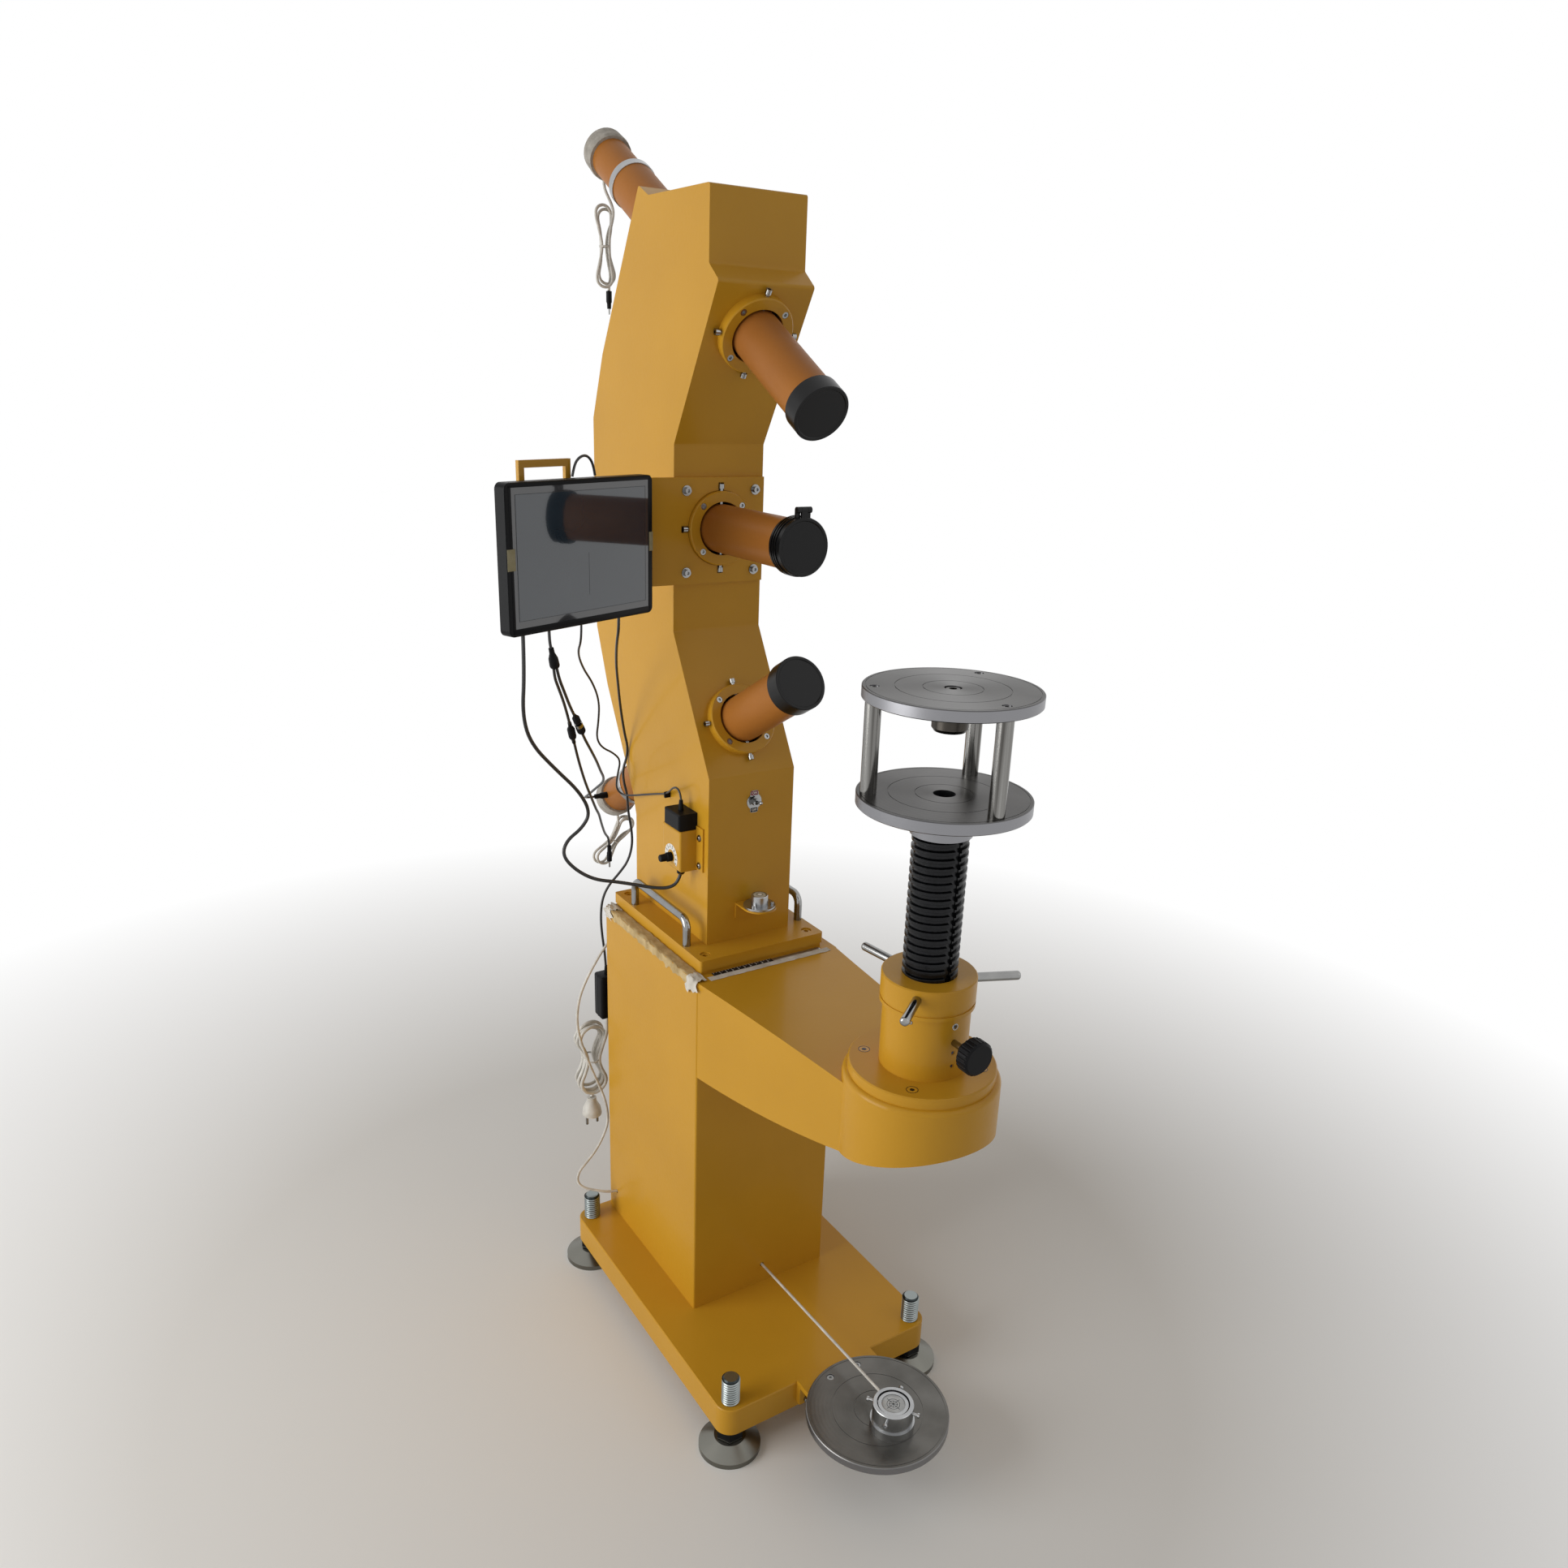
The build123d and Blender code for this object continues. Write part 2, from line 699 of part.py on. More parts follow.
def make_foot(x, y):
    """A levelling foot: a round pad with a cone, its stud, and the lock nut under the plate."""
    pad = turned([
        (0, 0), (pad_radius, 0), (pad_radius, pad_rim_height), (pad_neck_radius + 6, pad_height),
        (stud_radius, pad_height + 1.5), (stud_radius, plate_top_z + stud_rise - 2),
        (stud_radius - 2, plate_top_z + stud_rise), (0, plate_top_z + stud_rise),
    ])
    nut_z = plate_bottom_z - face_gap - lock_nut_height
    nut = hexagon(lock_nut_flats, lock_nut_height, z=nut_z) - rod(stud_radius, lock_nut_height, z=nut_z)
    return [Pos(x, y, 0) * pad, Pos(x, y, 0) * nut]


def housing_screw_places():
    """The four countersunk screws in the stand's flange."""
    return [polar(housing_screw_circle, housing_screw_angle + 90.0 * i) for i in range(4)]


def make_stand_housing():
    """The flanged guide of the elevating screw, bolted on the boss."""
    bore = screw_radius + fit_gap
    flange_top = housing_bottom_z + housing_flange_height
    body = turned([
        (bore, housing_bottom_z), (housing_flange_radius, housing_bottom_z),
        (housing_flange_radius, flange_top - 1.5), (housing_flange_radius - 1.5, flange_top),
        (housing_radius, flange_top), (housing_radius, housing_top_z), (bore, housing_top_z),
    ])
    sink = housing_screw_head_radius - housing_screw_radius
    for x, y in housing_screw_places():
        body -= rod(housing_screw_radius, housing_flange_height, x, y, housing_bottom_z)
        cone = Cone(housing_screw_radius, housing_screw_head_radius, sink)
        body -= Pos(x, y, flange_top - sink / 2) * cone
    outward = housing_radius + 2
    body -= toward((0, 1, 0), (0, -outward, clamp_z)) * rod(clamp_shaft_radius + fit_gap, outward)
    for rise in set_screw_rises:
        body -= toward((0, 1, 0), (0, -outward, housing_bottom_z + rise)) * rod(set_screw_radius, outward)
    return body


def make_stand_screws():
    """Four countersunk screws through the stand's flange, and three set screws in its front."""
    screws = []
    flange_top = housing_bottom_z + housing_flange_height
    sink = housing_screw_head_radius - housing_screw_radius
    length = housing_flange_height - sink + 20.0
    for x, y in housing_screw_places():
        head = Pos(0, 0, -sink / 2) * Cone(housing_screw_radius, housing_screw_head_radius, sink)
        screw = head + rod(housing_screw_radius, length, z=-sink - length)
        screw -= hexagon(housing_screw_radius, sink * 0.8, z=-sink * 0.8)
        screws.append(Pos(x, y, flange_top) * screw)
    inner = screw_radius + 2.0
    outer = housing_radius - 1.0
    for rise in set_screw_rises:
        screw = rod(set_screw_radius, outer - inner) - hexagon(set_screw_radius, 3.0, z=outer - inner - 3.0)
        screws.append(toward((0, -1, 0), (0, -inner, housing_bottom_z + rise)) * screw)
    return screws


def make_elevating_nut():
    """The round nut that raises the stand, with three tapped holes for its levers."""
    bore = screw_radius + fit_gap
    body = turned([
        (bore, nut_bottom_z), (nut_radius, nut_bottom_z), (nut_radius, nut_top_z - 1.5),
        (nut_radius - 1.5, nut_top_z), (bore, nut_top_z),
    ])
    body -= rod(nut_radius + 1, nut_groove_width, z=nut_bottom_z + 5) - rod(
        nut_radius - nut_groove_depth, nut_groove_width, z=nut_bottom_z + 5)
    return body - make_nut_levers()


def make_nut_levers():
    """Three bright levers with rounded ends, screwed into the nut."""
    levers = []
    start = nut_radius - lever_thread_depth
    for angle in lever_angles:
        lever = rod(lever_radius, lever_reach - start)
        end = lever.edges().filter_by(GeomType.CIRCLE).sort_by(Axis.Z)[-1]
        lever = fillet(end, lever_radius * 0.7)
        x, y = polar(1.0, angle)
        place = (x * start, y * start, nut_bottom_z + lever_height_on_nut)
        levers.append(toward((x, y, 0), place) * lever)
    return levers


def make_threaded_column():
    """The hollow elevating screw with its keyway along the front."""
    height = lower_disc_bottom_z - screw_bottom_z
    screw = rod(screw_radius, height, z=screw_bottom_z) - rod(screw_bore_radius, height, z=screw_bottom_z)
    half = keyway_width / 2
    return screw - block(
        -half, half, -screw_radius - 1, keyway_depth - screw_radius, screw_bottom_z, collar_bottom_z - 3.0
    )


def disc_grooves(top_z):
    """The fine turned rings in the top of a disc."""
    rings = []
    for radius in disc_groove_radii:
        outer = rod(radius + disc_groove_width / 2, disc_groove_depth, z=top_z - disc_groove_depth)
        inner = rod(radius - disc_groove_width / 2, disc_groove_depth, z=top_z - disc_groove_depth)
        rings.append(outer - inner)
    return rings


def make_lower_disc():
    """The lower disc of the stage, with the collar that it screws on by."""
    edge = disc_edge_radius
    disc = turned([
        (screw_radius, collar_bottom_z), (collar_radius, collar_bottom_z), (collar_radius, lower_disc_bottom_z),
        (disc_radius - edge, lower_disc_bottom_z), (disc_radius, lower_disc_bottom_z + edge),
        (disc_radius, lower_disc_top_z - edge), (disc_radius - edge, lower_disc_top_z),
        (screw_bore_radius, lower_disc_top_z), (screw_bore_radius, lower_disc_bottom_z),
        (screw_radius, lower_disc_bottom_z),
    ])
    return disc - disc_grooves(lower_disc_top_z)


def make_stage_posts():
    """Three posts between the discs, tapped at the top."""
    posts = []
    for angle in post_angles:
        x, y = polar(post_circle, angle)
        post = rod(post_radius, upper_disc_bottom_z - lower_disc_top_z, x, y, lower_disc_top_z)
        posts.append(post - rod(post_screw_radius, 12.0, x, y, upper_disc_bottom_z - 12.0))
    return posts


def make_upper_disc():
    """The upper disc, the seat of the instrument under test."""
    edge = disc_edge_radius
    washer_seat = upper_disc_top_z - 4.0
    disc = turned([
        (centring_hole_radius, upper_disc_bottom_z), (disc_radius - edge, upper_disc_bottom_z),
        (disc_radius, upper_disc_bottom_z + edge), (disc_radius, upper_disc_top_z - edge),
        (disc_radius - edge, upper_disc_top_z), (centring_hole_radius + 2.0, upper_disc_top_z),
        (centring_hole_radius + 2.0, washer_seat), (centring_hole_radius, washer_seat),
    ])
    for angle in post_angles:
        x, y = polar(post_circle, angle)
        disc -= rod(post_screw_radius, upper_disc_thickness, x, y, upper_disc_bottom_z)
        head_z = upper_disc_top_z - post_screw_head_height - 1.0
        disc -= rod(post_screw_head_radius + 0.6, post_screw_head_height + 1.0, x, y, head_z)
    return disc - disc_grooves(upper_disc_top_z)


def make_post_screws():
    """Three socket head screws that hold the upper disc on its posts."""
    screws = []
    head_z = upper_disc_top_z - post_screw_head_height - 1.0
    length = head_z - upper_disc_bottom_z + 12.0
    for angle in post_angles:
        x, y = polar(post_circle, angle)
        screw = cap_screw(post_screw_head_radius, post_screw_head_height, post_screw_radius, length)
        screws.append(Pos(x, y, head_z) * screw)
    return screws


def make_centring_screw():
    """The hollow knob under the upper disc, kept in its hole by a retaining ring."""
    top = upper_disc_bottom_z - face_gap
    bottom = upper_disc_bottom_z - centring_knob_height
    shaft = centring_hole_radius - fit_gap
    ring_bottom = upper_disc_top_z - 4.0 + face_gap / 2
    ring_top = ring_bottom + 1.5
    ring = centring_hole_radius + 1.6
    return turned([
        (centring_bore_radius, bottom), (centring_knob_radius - 3, bottom), (centring_knob_radius, bottom + 4),
        (centring_knob_radius, top), (shaft, top), (shaft, ring_bottom), (ring, ring_bottom), (ring, ring_top),
        (shaft, ring_top), (shaft, upper_disc_top_z - centring_stud_rise),
        (centring_bore_radius, upper_disc_top_z - centring_stud_rise),
    ])


def make_clamp_knob():
    """The fluted knob whose tip bears in the keyway."""
    tip = screw_radius - keyway_depth + face_gap
    wall = screw_radius + 2.0
    body = turned([
        (0, tip), (clamp_tip_radius, tip), (clamp_tip_radius, wall), (clamp_shaft_radius, wall),
        (clamp_shaft_radius, clamp_knob_near), (clamp_knob_radius * 0.45, clamp_knob_near),
        (clamp_knob_radius * 0.55, clamp_knob_near + 5), (clamp_knob_radius, clamp_knob_near + 11),
        (clamp_knob_radius, clamp_knob_far - 3), (clamp_knob_radius - 3, clamp_knob_far), (0, clamp_knob_far),
    ])
    flutes = [
        Rot(0, 0, 360.0 / clamp_flutes * i) * rod(1.5, 40, clamp_knob_radius + 0.4, 0, clamp_knob_near + 4)
        for i in range(clamp_flutes)
    ]
    return toward((0, -1, 0), (0, 0, clamp_z)) * (body - flutes)


def tube_front(name):
    """Where a tube starts, measured from the meeting point of the axes."""
    if name == "middle":
        return cap_distance[name] + flip_lid_thickness + face_gap
    return cap_distance[name] + cap_face + face_gap


def make_tube(name):
    """A collimator tube, from its objective to the ring of the rear barrel."""
    front = tube_front(name)
    tube = turned([
        (tube_bore_radius, front), (tube_radius - 0.8, front), (tube_radius, front + 0.8),
        (tube_radius, rear_ring_distance), (tube_bore_radius, rear_ring_distance),
    ])
    return collimator(tilts[name]) * tube


def make_objective_lenses():
    """The objective of each collimator, a disc that bulges to the front."""
    lenses = []
    for name, tilt in tilts.items():
        front = tube_front(name) + lens_setback
        bulge = 2.5
        rim = front + bulge
        dome = ThreePointArc((0, front), (tube_bore_radius * 0.55, front + bulge * 0.3), (tube_bore_radius, rim))
        side = Polyline((tube_bore_radius, rim), (tube_bore_radius, rim + lens_thickness), (0, rim + lens_thickness))
        face = make_face(Wire([dome, *side.edges(), Line((0, rim + lens_thickness), (0, front))]))
        lenses.append(collimator(tilt) * revolve(Plane.XZ * face, Axis.Z))
    return lenses


def make_rear_barrels():
    """The narrower rear barrels, each behind its ring, with four slots round it beside the ring."""
    barrels = []
    end = rear_ring_distance + rear_ring_width + rear_barrel_length
    slot_start = rear_ring_distance + rear_ring_width + rear_slot_gap
    floor = rear_barrel_radius - rear_slot_depth
    slot = make_face(Polyline(
        (floor, slot_start), (rear_barrel_radius + 1, slot_start),
        (rear_barrel_radius + 1, slot_start + rear_slot_width), (floor, slot_start + rear_slot_width), close=True,
    ))
    slot = revolve(Plane.XZ * slot, Axis.Z, rear_slot_arc)
    for name, tilt in tilts.items():
        body = turned([
            (0, rear_ring_distance), (rear_ring_radius, rear_ring_distance),
            (rear_ring_radius, rear_ring_distance + rear_ring_width),
            (rear_barrel_radius, rear_ring_distance + rear_ring_width), (rear_barrel_radius, end), (0, end),
        ])
        for i in range(4):
            body -= Rot(0, 0, rear_slot_first_angle - rear_slot_arc / 2 + 90.0 * i) * slot
        barrels.append(collimator(tilt) * body)
    return barrels


def make_wrap(name):
    """The soft wrap over the end of a rear barrel."""
    end = rear_ring_distance + rear_ring_width + rear_barrel_length
    body = turned([
        (0, end), (rear_barrel_radius, end), (rear_barrel_radius, end - wrap_overlap),
        (wrap_radius - 1, end - wrap_overlap), (wrap_radius, end), (wrap_radius - 1, end + wrap_length * 0.6),
        (wrap_radius - 9, end + wrap_length - wrap_overlap), (0, end + wrap_length - wrap_overlap),
    ])
    return collimator(tilts[name]) * body


def make_slip_cap(name):
    """A lens cap that slides over the front of a tube."""
    front = cap_distance[name]
    outer = tube_radius + fit_gap + cap_wall
    inner = tube_radius + fit_gap
    rim = outer - cap_rim_width
    cap = turned([
        (0, front + cap_recess), (rim, front + cap_recess), (rim + cap_recess, front), (outer - 1, front),
        (outer, front + 1), (outer, front + cap_skirt), (inner, front + cap_skirt), (inner, front + cap_face),
        (0, front + cap_face),
    ])
    return collimator(tilts[name]) * cap


def ring_screw_places():
    """The four face screws of a ring, between its adjusting screws."""
    return [polar(ring_screw_circle, 45.0 + 90.0 * i) for i in range(4)]


def make_mount_rings():
    """The three rings on the column's faces, each with bores for four adjusting screws."""
    rings = []
    for name, tilt in tilts.items():
        back = face_distance[name]
        front = back - ring_depth
        ring = turned([
            (ring_bore_radius, front), (ring_radius - ring_edge_radius, front),
            (ring_radius, front + ring_edge_radius), (ring_radius, back), (ring_bore_radius, back),
        ])
        for x, y in ring_screw_places():
            ring -= rod(ring_screw_radius, ring_depth, x, y, front)
            ring -= rod(ring_screw_head_radius + 0.4, ring_screw_head_height + 0.5, x, y, front)
        for i in range(4):
            x, y = polar(1.0, 90.0 * i)
            place = toward((x, y, 0), (0, 0, front + ring_depth / 2))
            ring -= place * rod(adjuster_radius, ring_radius + 1)
        rings.append(collimator(tilt) * ring)
    return rings


def make_ring_screws():
    """The twelve socket screws in the faces of the rings."""
    screws = []
    for name, tilt in tilts.items():
        head_z = face_distance[name] - ring_depth + ring_screw_head_height + 0.5
        for x, y in ring_screw_places():
            screw = cap_screw(ring_screw_head_radius, ring_screw_head_height, ring_screw_radius, ring_screw_length)
            place = Pos(x, y, head_z) * Rot(180, 0, 0)
            screws.append(collimator(tilt) * place * screw)
    return screws


def make_adjusting_screws():
    """The twelve bright screws that point each tube, four round each ring."""
    screws = []
    for name, tilt in tilts.items():
        middle = face_distance[name] - ring_depth / 2
        for i in range(4):
            x, y = polar(1.0, 90.0 * i)
            head = adjuster_reach - adjuster_head_height
            screw = cap_screw(adjuster_head_radius, adjuster_head_height, adjuster_radius, head - tube_radius)
            place = toward((x, y, 0), (x * head, y * head, middle))
            screws.append(collimator(tilt) * place * screw)
    return screws


def make_flip_ring():
    """The ribbed clamp ring of the flip-up cap, with the outer knuckles and the pin of its hinge."""
    front = tube_front("middle")
    back = front + flip_ring_length
    body = turned([
        (tube_radius, front), (flip_ring_radius, front), (flip_ring_radius, back), (tube_radius, back),
    ])
    for i in range(3):
        start = front + 5.0 + 5.0 * i
        body += rod(flip_ring_radius + flip_rib_height, flip_rib_width, z=start) - rod(
            flip_ring_radius - 1, flip_rib_width, z=start)
    body = collimator(0.0) * body
    hinge_y = front - face_gap / 2
    hinge_z = axis_height + flip_hinge_height
    inner_x = flip_lid_knuckle_width / 2 + face_gap
    outer_x = inner_x + flip_ear_width
    pin = toward((1, 0, 0), (-outer_x, hinge_y, hinge_z)) * rod(flip_pin_radius, 2 * outer_x)
    for side in (-1, 1):
        knuckle = toward((side, 0, 0), (side * inner_x, hinge_y, hinge_z))
        body += knuckle * rod(flip_knuckle_radius, flip_ear_width)
        body += block(
            side * inner_x, side * outer_x, front, hinge_y + flip_knuckle_radius,
            axis_height + flip_ring_radius - 3, hinge_z,
        )
    return body + pin


def make_flip_lid():
    """The lid of the flip-up cap, with its raised rim and the middle knuckle."""
    front = cap_distance["middle"]
    back = front + flip_lid_thickness
    rim = flip_ring_radius - cap_rim_width
    lid = turned([
        (0, front + cap_recess), (rim, front + cap_recess), (rim + cap_recess, front),
        (flip_ring_radius - 1, front), (flip_ring_radius, front + 1), (flip_ring_radius, back), (0, back),
    ])
    lid = collimator(0.0) * lid
    hinge_y = back + face_gap / 2
    hinge_z = axis_height + flip_hinge_height
    half = flip_lid_knuckle_width / 2
    ear = block(-half, half, front + 1, back, axis_height + flip_ring_radius - 4, hinge_z)
    along_pin = toward((1, 0, 0), (-half, hinge_y, hinge_z))
    ear += along_pin * rod(flip_knuckle_radius, flip_lid_knuckle_width)
    return lid + ear - along_pin * rod(flip_pin_radius + fit_gap, flip_lid_knuckle_width)


def mount_bolt_places():
    """The X and Z of the four bolts of the mounting plate."""
    heights = (axis_height - mount_bolt_drop, axis_height + mount_bolt_rise)
    return [(side * mount_bolt_x, z) for z in heights for side in (-1, 1)]


def monitor_place():
    """The place of the monitor: X along its width, Y to its back, Z up, from its front's middle."""
    across = (cos(radians(monitor_yaw)), sin(radians(monitor_yaw)), 0.0)
    return Plane(origin=monitor_centre, x_dir=across, z_dir=(0, 0, 1)).location


def swivel_point():
    """The X and Y of the monitor's swivel pin."""
    place = monitor_place() * Pos(swivel_along, swivel_depth, 0)
    return place.position.X, place.position.Y


def make_mounting_plate():
    """The plate on the column's middle face, with a tongue that ends in the eye of the swivel."""
    back = middle_face_distance
    front = back - mount_plate_thickness
    swivel_x, swivel_y = swivel_point()
    bottom = axis_height - mount_plate_drop
    top = axis_height + mount_plate_rise
    plate = block(mount_plate_left_x, mount_plate_right_x, front, back, bottom, top)
    low = monitor_centre[2] - swivel_eye_height / 2
    high = monitor_centre[2] + swivel_eye_height / 2
    plate += block(swivel_x, mount_plate_left_x + 1, front, back, low, high)
    plate += rod(swivel_eye_radius, swivel_eye_height, swivel_x, swivel_y, low)
    plate -= rod(swivel_pin_radius + fit_gap, swivel_eye_height, swivel_x, swivel_y, low)
    through = collimator(0.0) * rod(ring_radius + mount_hole_gap, mount_plate_thickness + 2, z=front - 1)
    plate -= through
    half = notch_width / 2
    plate -= block(-notch_reach, notch_reach, front - 1, back + 1, axis_height - half, axis_height + half)
    plate -= block(-half, half, front - 1, back + 1, axis_height - notch_reach, axis_height + notch_reach)
    for x, z in mount_bolt_places():
        plate -= toward((0, 1, 0), (x, front - 1, z)) * rod(mount_bolt_radius, mount_plate_thickness + 2)
    return plate


def make_mount_bolts():
    """Four socket head bolts with bright washers on the mounting plate."""
    parts = []
    front = middle_face_distance - mount_plate_thickness
    length = washer_thickness + mount_plate_thickness + column_wall
    for x, z in mount_bolt_places():
        place = toward((0, -1, 0), (x, front, z))
        washer = rod(washer_radius, washer_thickness) - rod(mount_bolt_radius, washer_thickness)
        bolt = cap_screw(mount_bolt_head_radius, mount_bolt_head_height, mount_bolt_radius, length)
        parts += [place * washer, place * Pos(0, 0, washer_thickness) * bolt]
    return parts


def make_monitor_housing():
    """The monitor's case, with a recess for the screen and a shallow raised back."""
    half_w = monitor_width / 2
    half_h = monitor_height / 2
    case = block(-half_w, half_w, 0, monitor_edge_depth, -half_h, half_h)
    case = fillet(case.edges().filter_by(Axis.Y), monitor_corner_radius)
    case = chamfer(case.edges().group_by(Axis.Y)[-1], 3.0)
    case = chamfer(case.edges().group_by(Axis.Y)[0], 1.0)
    back_w = monitor_back_width / 2
    back_h = monitor_back_height / 2
    back_depth = monitor_edge_depth + monitor_back_depth
    back = block(-back_w, back_w, monitor_edge_depth, back_depth, -back_h, back_h)
    back = chamfer(back.edges().group_by(Axis.Y)[-1], monitor_back_depth * 0.6)
    case += back
    case -= block(-screen_width / 2, screen_width / 2, 0, screen_recess, -screen_height / 2, screen_height / 2)
    pocket = key_strip()
    case -= block(*pocket, -half_h, key_pocket_depth - half_h)
    return monitor_place() * case


def key_strip():
    """The pocket for the keys in the monitor's bottom edge."""
    left = key_first - key_length
    right = key_first + key_pitch * (key_count - 1) + key_length
    middle = monitor_edge_depth / 2
    return left, right, middle - key_width / 2, middle + key_width / 2


def make_monitor_keys():
    """The moulded rubber strip with the monitor's keys, flush with the case in its pocket."""
    left, right, front, back = key_strip()
    bottom = -monitor_height / 2
    strip = block(left, right, front, back, bottom + key_height, bottom + key_pocket_depth)
    for i in range(key_count):
        along = key_first + key_pitch * i
        strip += block(along - key_length / 2, along + key_length / 2, front, back, bottom, bottom + key_height)
    return monitor_place() * strip


def make_monitor_screen():
    """The screen panel in its recess."""
    half_w = screen_width / 2
    half_h = screen_height / 2
    panel = block(-half_w, half_w, screen_recess - screen_thickness, screen_recess, -half_h, half_h)
    return monitor_place() * panel


def make_monitor_bracket():
    """The plate behind the monitor, with the bent strap above it, two lugs and the swivel pin."""
    near = monitor_edge_depth + monitor_back_depth
    far = near + bracket_thickness
    high = bracket_rise
    inner_right = strap_right - strap_width
    bracket = block(bracket_left, bracket_right, near, far, -bracket_drop, high)
    bracket += block(bracket_left, strap_right, near, far, high, strap_rise)
    bracket -= block(bracket_left + strap_width, inner_right, near, far, high, strap_rise - strap_width)
    half_eye = swivel_eye_height / 2 + face_gap
    for side in (-1, 1):
        bottom = half_eye if side > 0 else -half_eye - swivel_lug_height
        web = block(
            swivel_along - swivel_eye_radius, swivel_along + swivel_eye_radius, far, swivel_depth,
            bottom, bottom + swivel_lug_height,
        )
        bracket += web + rod(swivel_eye_radius, swivel_lug_height, swivel_along, swivel_depth, bottom)
    pin_half = half_eye + swivel_lug_height
    bracket += rod(swivel_pin_radius, 2 * pin_half, swivel_along, swivel_depth, -pin_half)
    return monitor_place() * bracket


def make_control_box():
    """The lamp dimmer's box on the column's side, with its fixing tab and cable gland."""
    near = -column_side_x
    far = near - box_depth
    box = block(far, near, box_front_y, box_rear_y, box_bottom_z, box_top_z)
    box = fillet(box.edges().group_by(Axis.X)[0], box_edge_radius)
    box += block(
        near - box_tab_thickness, near, box_tab_front_y, box_front_y + 1, box_tab_bottom_z, box_tab_top_z
    )
    box += rod(gland_radius, gland_length, gland_x, gland_y, box_bottom_z - gland_length)
    box -= rod(gland_bore_radius, gland_length + 4, gland_x, gland_y, box_bottom_z - gland_length)
    shaft = toward((1, 0, 0), (far - 1, dimmer_y, dimmer_z))
    box -= shaft * rod(dimmer_shaft_radius + fit_gap, dimmer_shaft_length + 2)
    for z in box_screw_heights:
        box -= toward((1, 0, 0), (near - box_tab_thickness, box_screw_y, z)) * rod(box_screw_radius, box_tab_thickness)
    return box


def make_box_screws():
    """Two screws through the tab of the control box into the column."""
    screws = []
    near = -column_side_x - box_tab_thickness
    for z in box_screw_heights:
        screw = cap_screw(box_screw_radius * 1.8, 2.4, box_screw_radius, box_tab_thickness)
        screws.append(toward((-1, 0, 0), (near, box_screw_y, z)) * screw)
    return screws


def make_adapter():
    """The black plug-in adapter on the control box, with the ribbed relief of its lead."""
    near = -column_side_x
    body = block(near - adapter_depth, near, adapter_front_y, adapter_rear_y, box_top_z, box_top_z + adapter_height)
    body = fillet(body.edges().group_by(Axis.X)[0], box_edge_radius)
    x = near - adapter_depth / 2
    top = box_top_z + adapter_height
    relief = turned([
        (0, 0), (adapter_relief_radius, 0), (adapter_relief_radius * 0.7, adapter_relief_height),
        (0, adapter_relief_height),
    ])
    body += Pos(x, adapter_relief_y, top) * relief
    return body


def make_dimmer_knob():
    """The fluted knob of the dimmer on its short shaft."""
    near = -column_side_x - box_depth - face_gap
    start = near + dimmer_shaft_length
    length = start - dimmer_far_x
    knob_start = dimmer_shaft_length
    body = turned([
        (0, 0), (dimmer_shaft_radius, 0), (dimmer_shaft_radius, knob_start), (dimmer_radius, knob_start),
        (dimmer_radius, knob_start + 7), (dimmer_radius - 1.2, knob_start + 8.2), (dimmer_radius - 1.6, length - 1),
        (dimmer_radius - 2.6, length), (0, length),
    ])
    flutes = [
        Rot(0, 0, 360.0 / dimmer_flutes * i) * rod(0.7, 20, dimmer_radius + 0.1, 0, knob_start + 1.5)
        for i in range(dimmer_flutes)
    ]
    return toward((-1, 0, 0), (start, dimmer_y, dimmer_z)) * (body - flutes)


def make_toggle_switch():
    """The threaded bush, nut and label plate of the lamp switch."""
    front = column_front_y
    tabs = block(
        switch_x - switch_tab_width / 2, switch_x + switch_tab_width / 2, front - switch_plate_thickness, front,
        switch_z - switch_plate_height / 2, switch_z + switch_plate_height / 2,
    )
    disc = toward((0, -1, 0), (switch_x, front, switch_z)) * rod(switch_plate_radius, switch_plate_thickness)
    label = fillet(tabs.edges().filter_by(Axis.Y), switch_tab_corner) + disc
    outward = toward((0, -1, 0), (switch_x, front + column_wall, switch_z))
    body = label + outward * rod(switch_bush_radius - 0.5, column_wall + switch_bush_length)
    body += outward * hexagon(switch_nut_flats, switch_nut_height, z=column_wall + switch_plate_thickness)
    return body - outward * rod(switch_bore_radius, switch_bush_length, z=column_wall + 1)


def make_toggle_lever():
    """The bat of the lamp switch, on its ball and cross pin inside the bush."""
    ball_y = column_front_y - switch_bush_length + lever_ball_radius
    bat = turned([
        (0, 0), (lever_root_radius, 0), (lever_root_radius, 4), (lever_tip_radius, lever_length - 2),
        (lever_tip_radius * 0.5, lever_length), (0, lever_length),
    ]) + Sphere(lever_ball_radius)
    bat += toward((1, 0, 0), (-lever_ball_radius, 0, 0)) * rod(lever_pin_radius, 2 * lever_ball_radius)
    direction = (0, -cos(radians(lever_rest_angle)), sin(radians(lever_rest_angle)))
    return toward(direction, (switch_x, ball_y, switch_z)) * bat


def make_level_bracket():
    """The angle bracket that carries the round level on the column's front."""
    thickness = level_bracket_thickness
    half = level_bracket_width / 2
    top = level_tongue_z + thickness
    tongue = block(level_x - half, level_x + half, level_y, column_front_y, level_tongue_z, top)
    tongue += rod(half, thickness, level_x, level_y, level_tongue_z)
    tab = block(
        level_x - half, level_x + half, column_front_y - thickness, column_front_y,
        level_tongue_z - level_tab_drop, level_tongue_z,
    )
    return tongue + tab


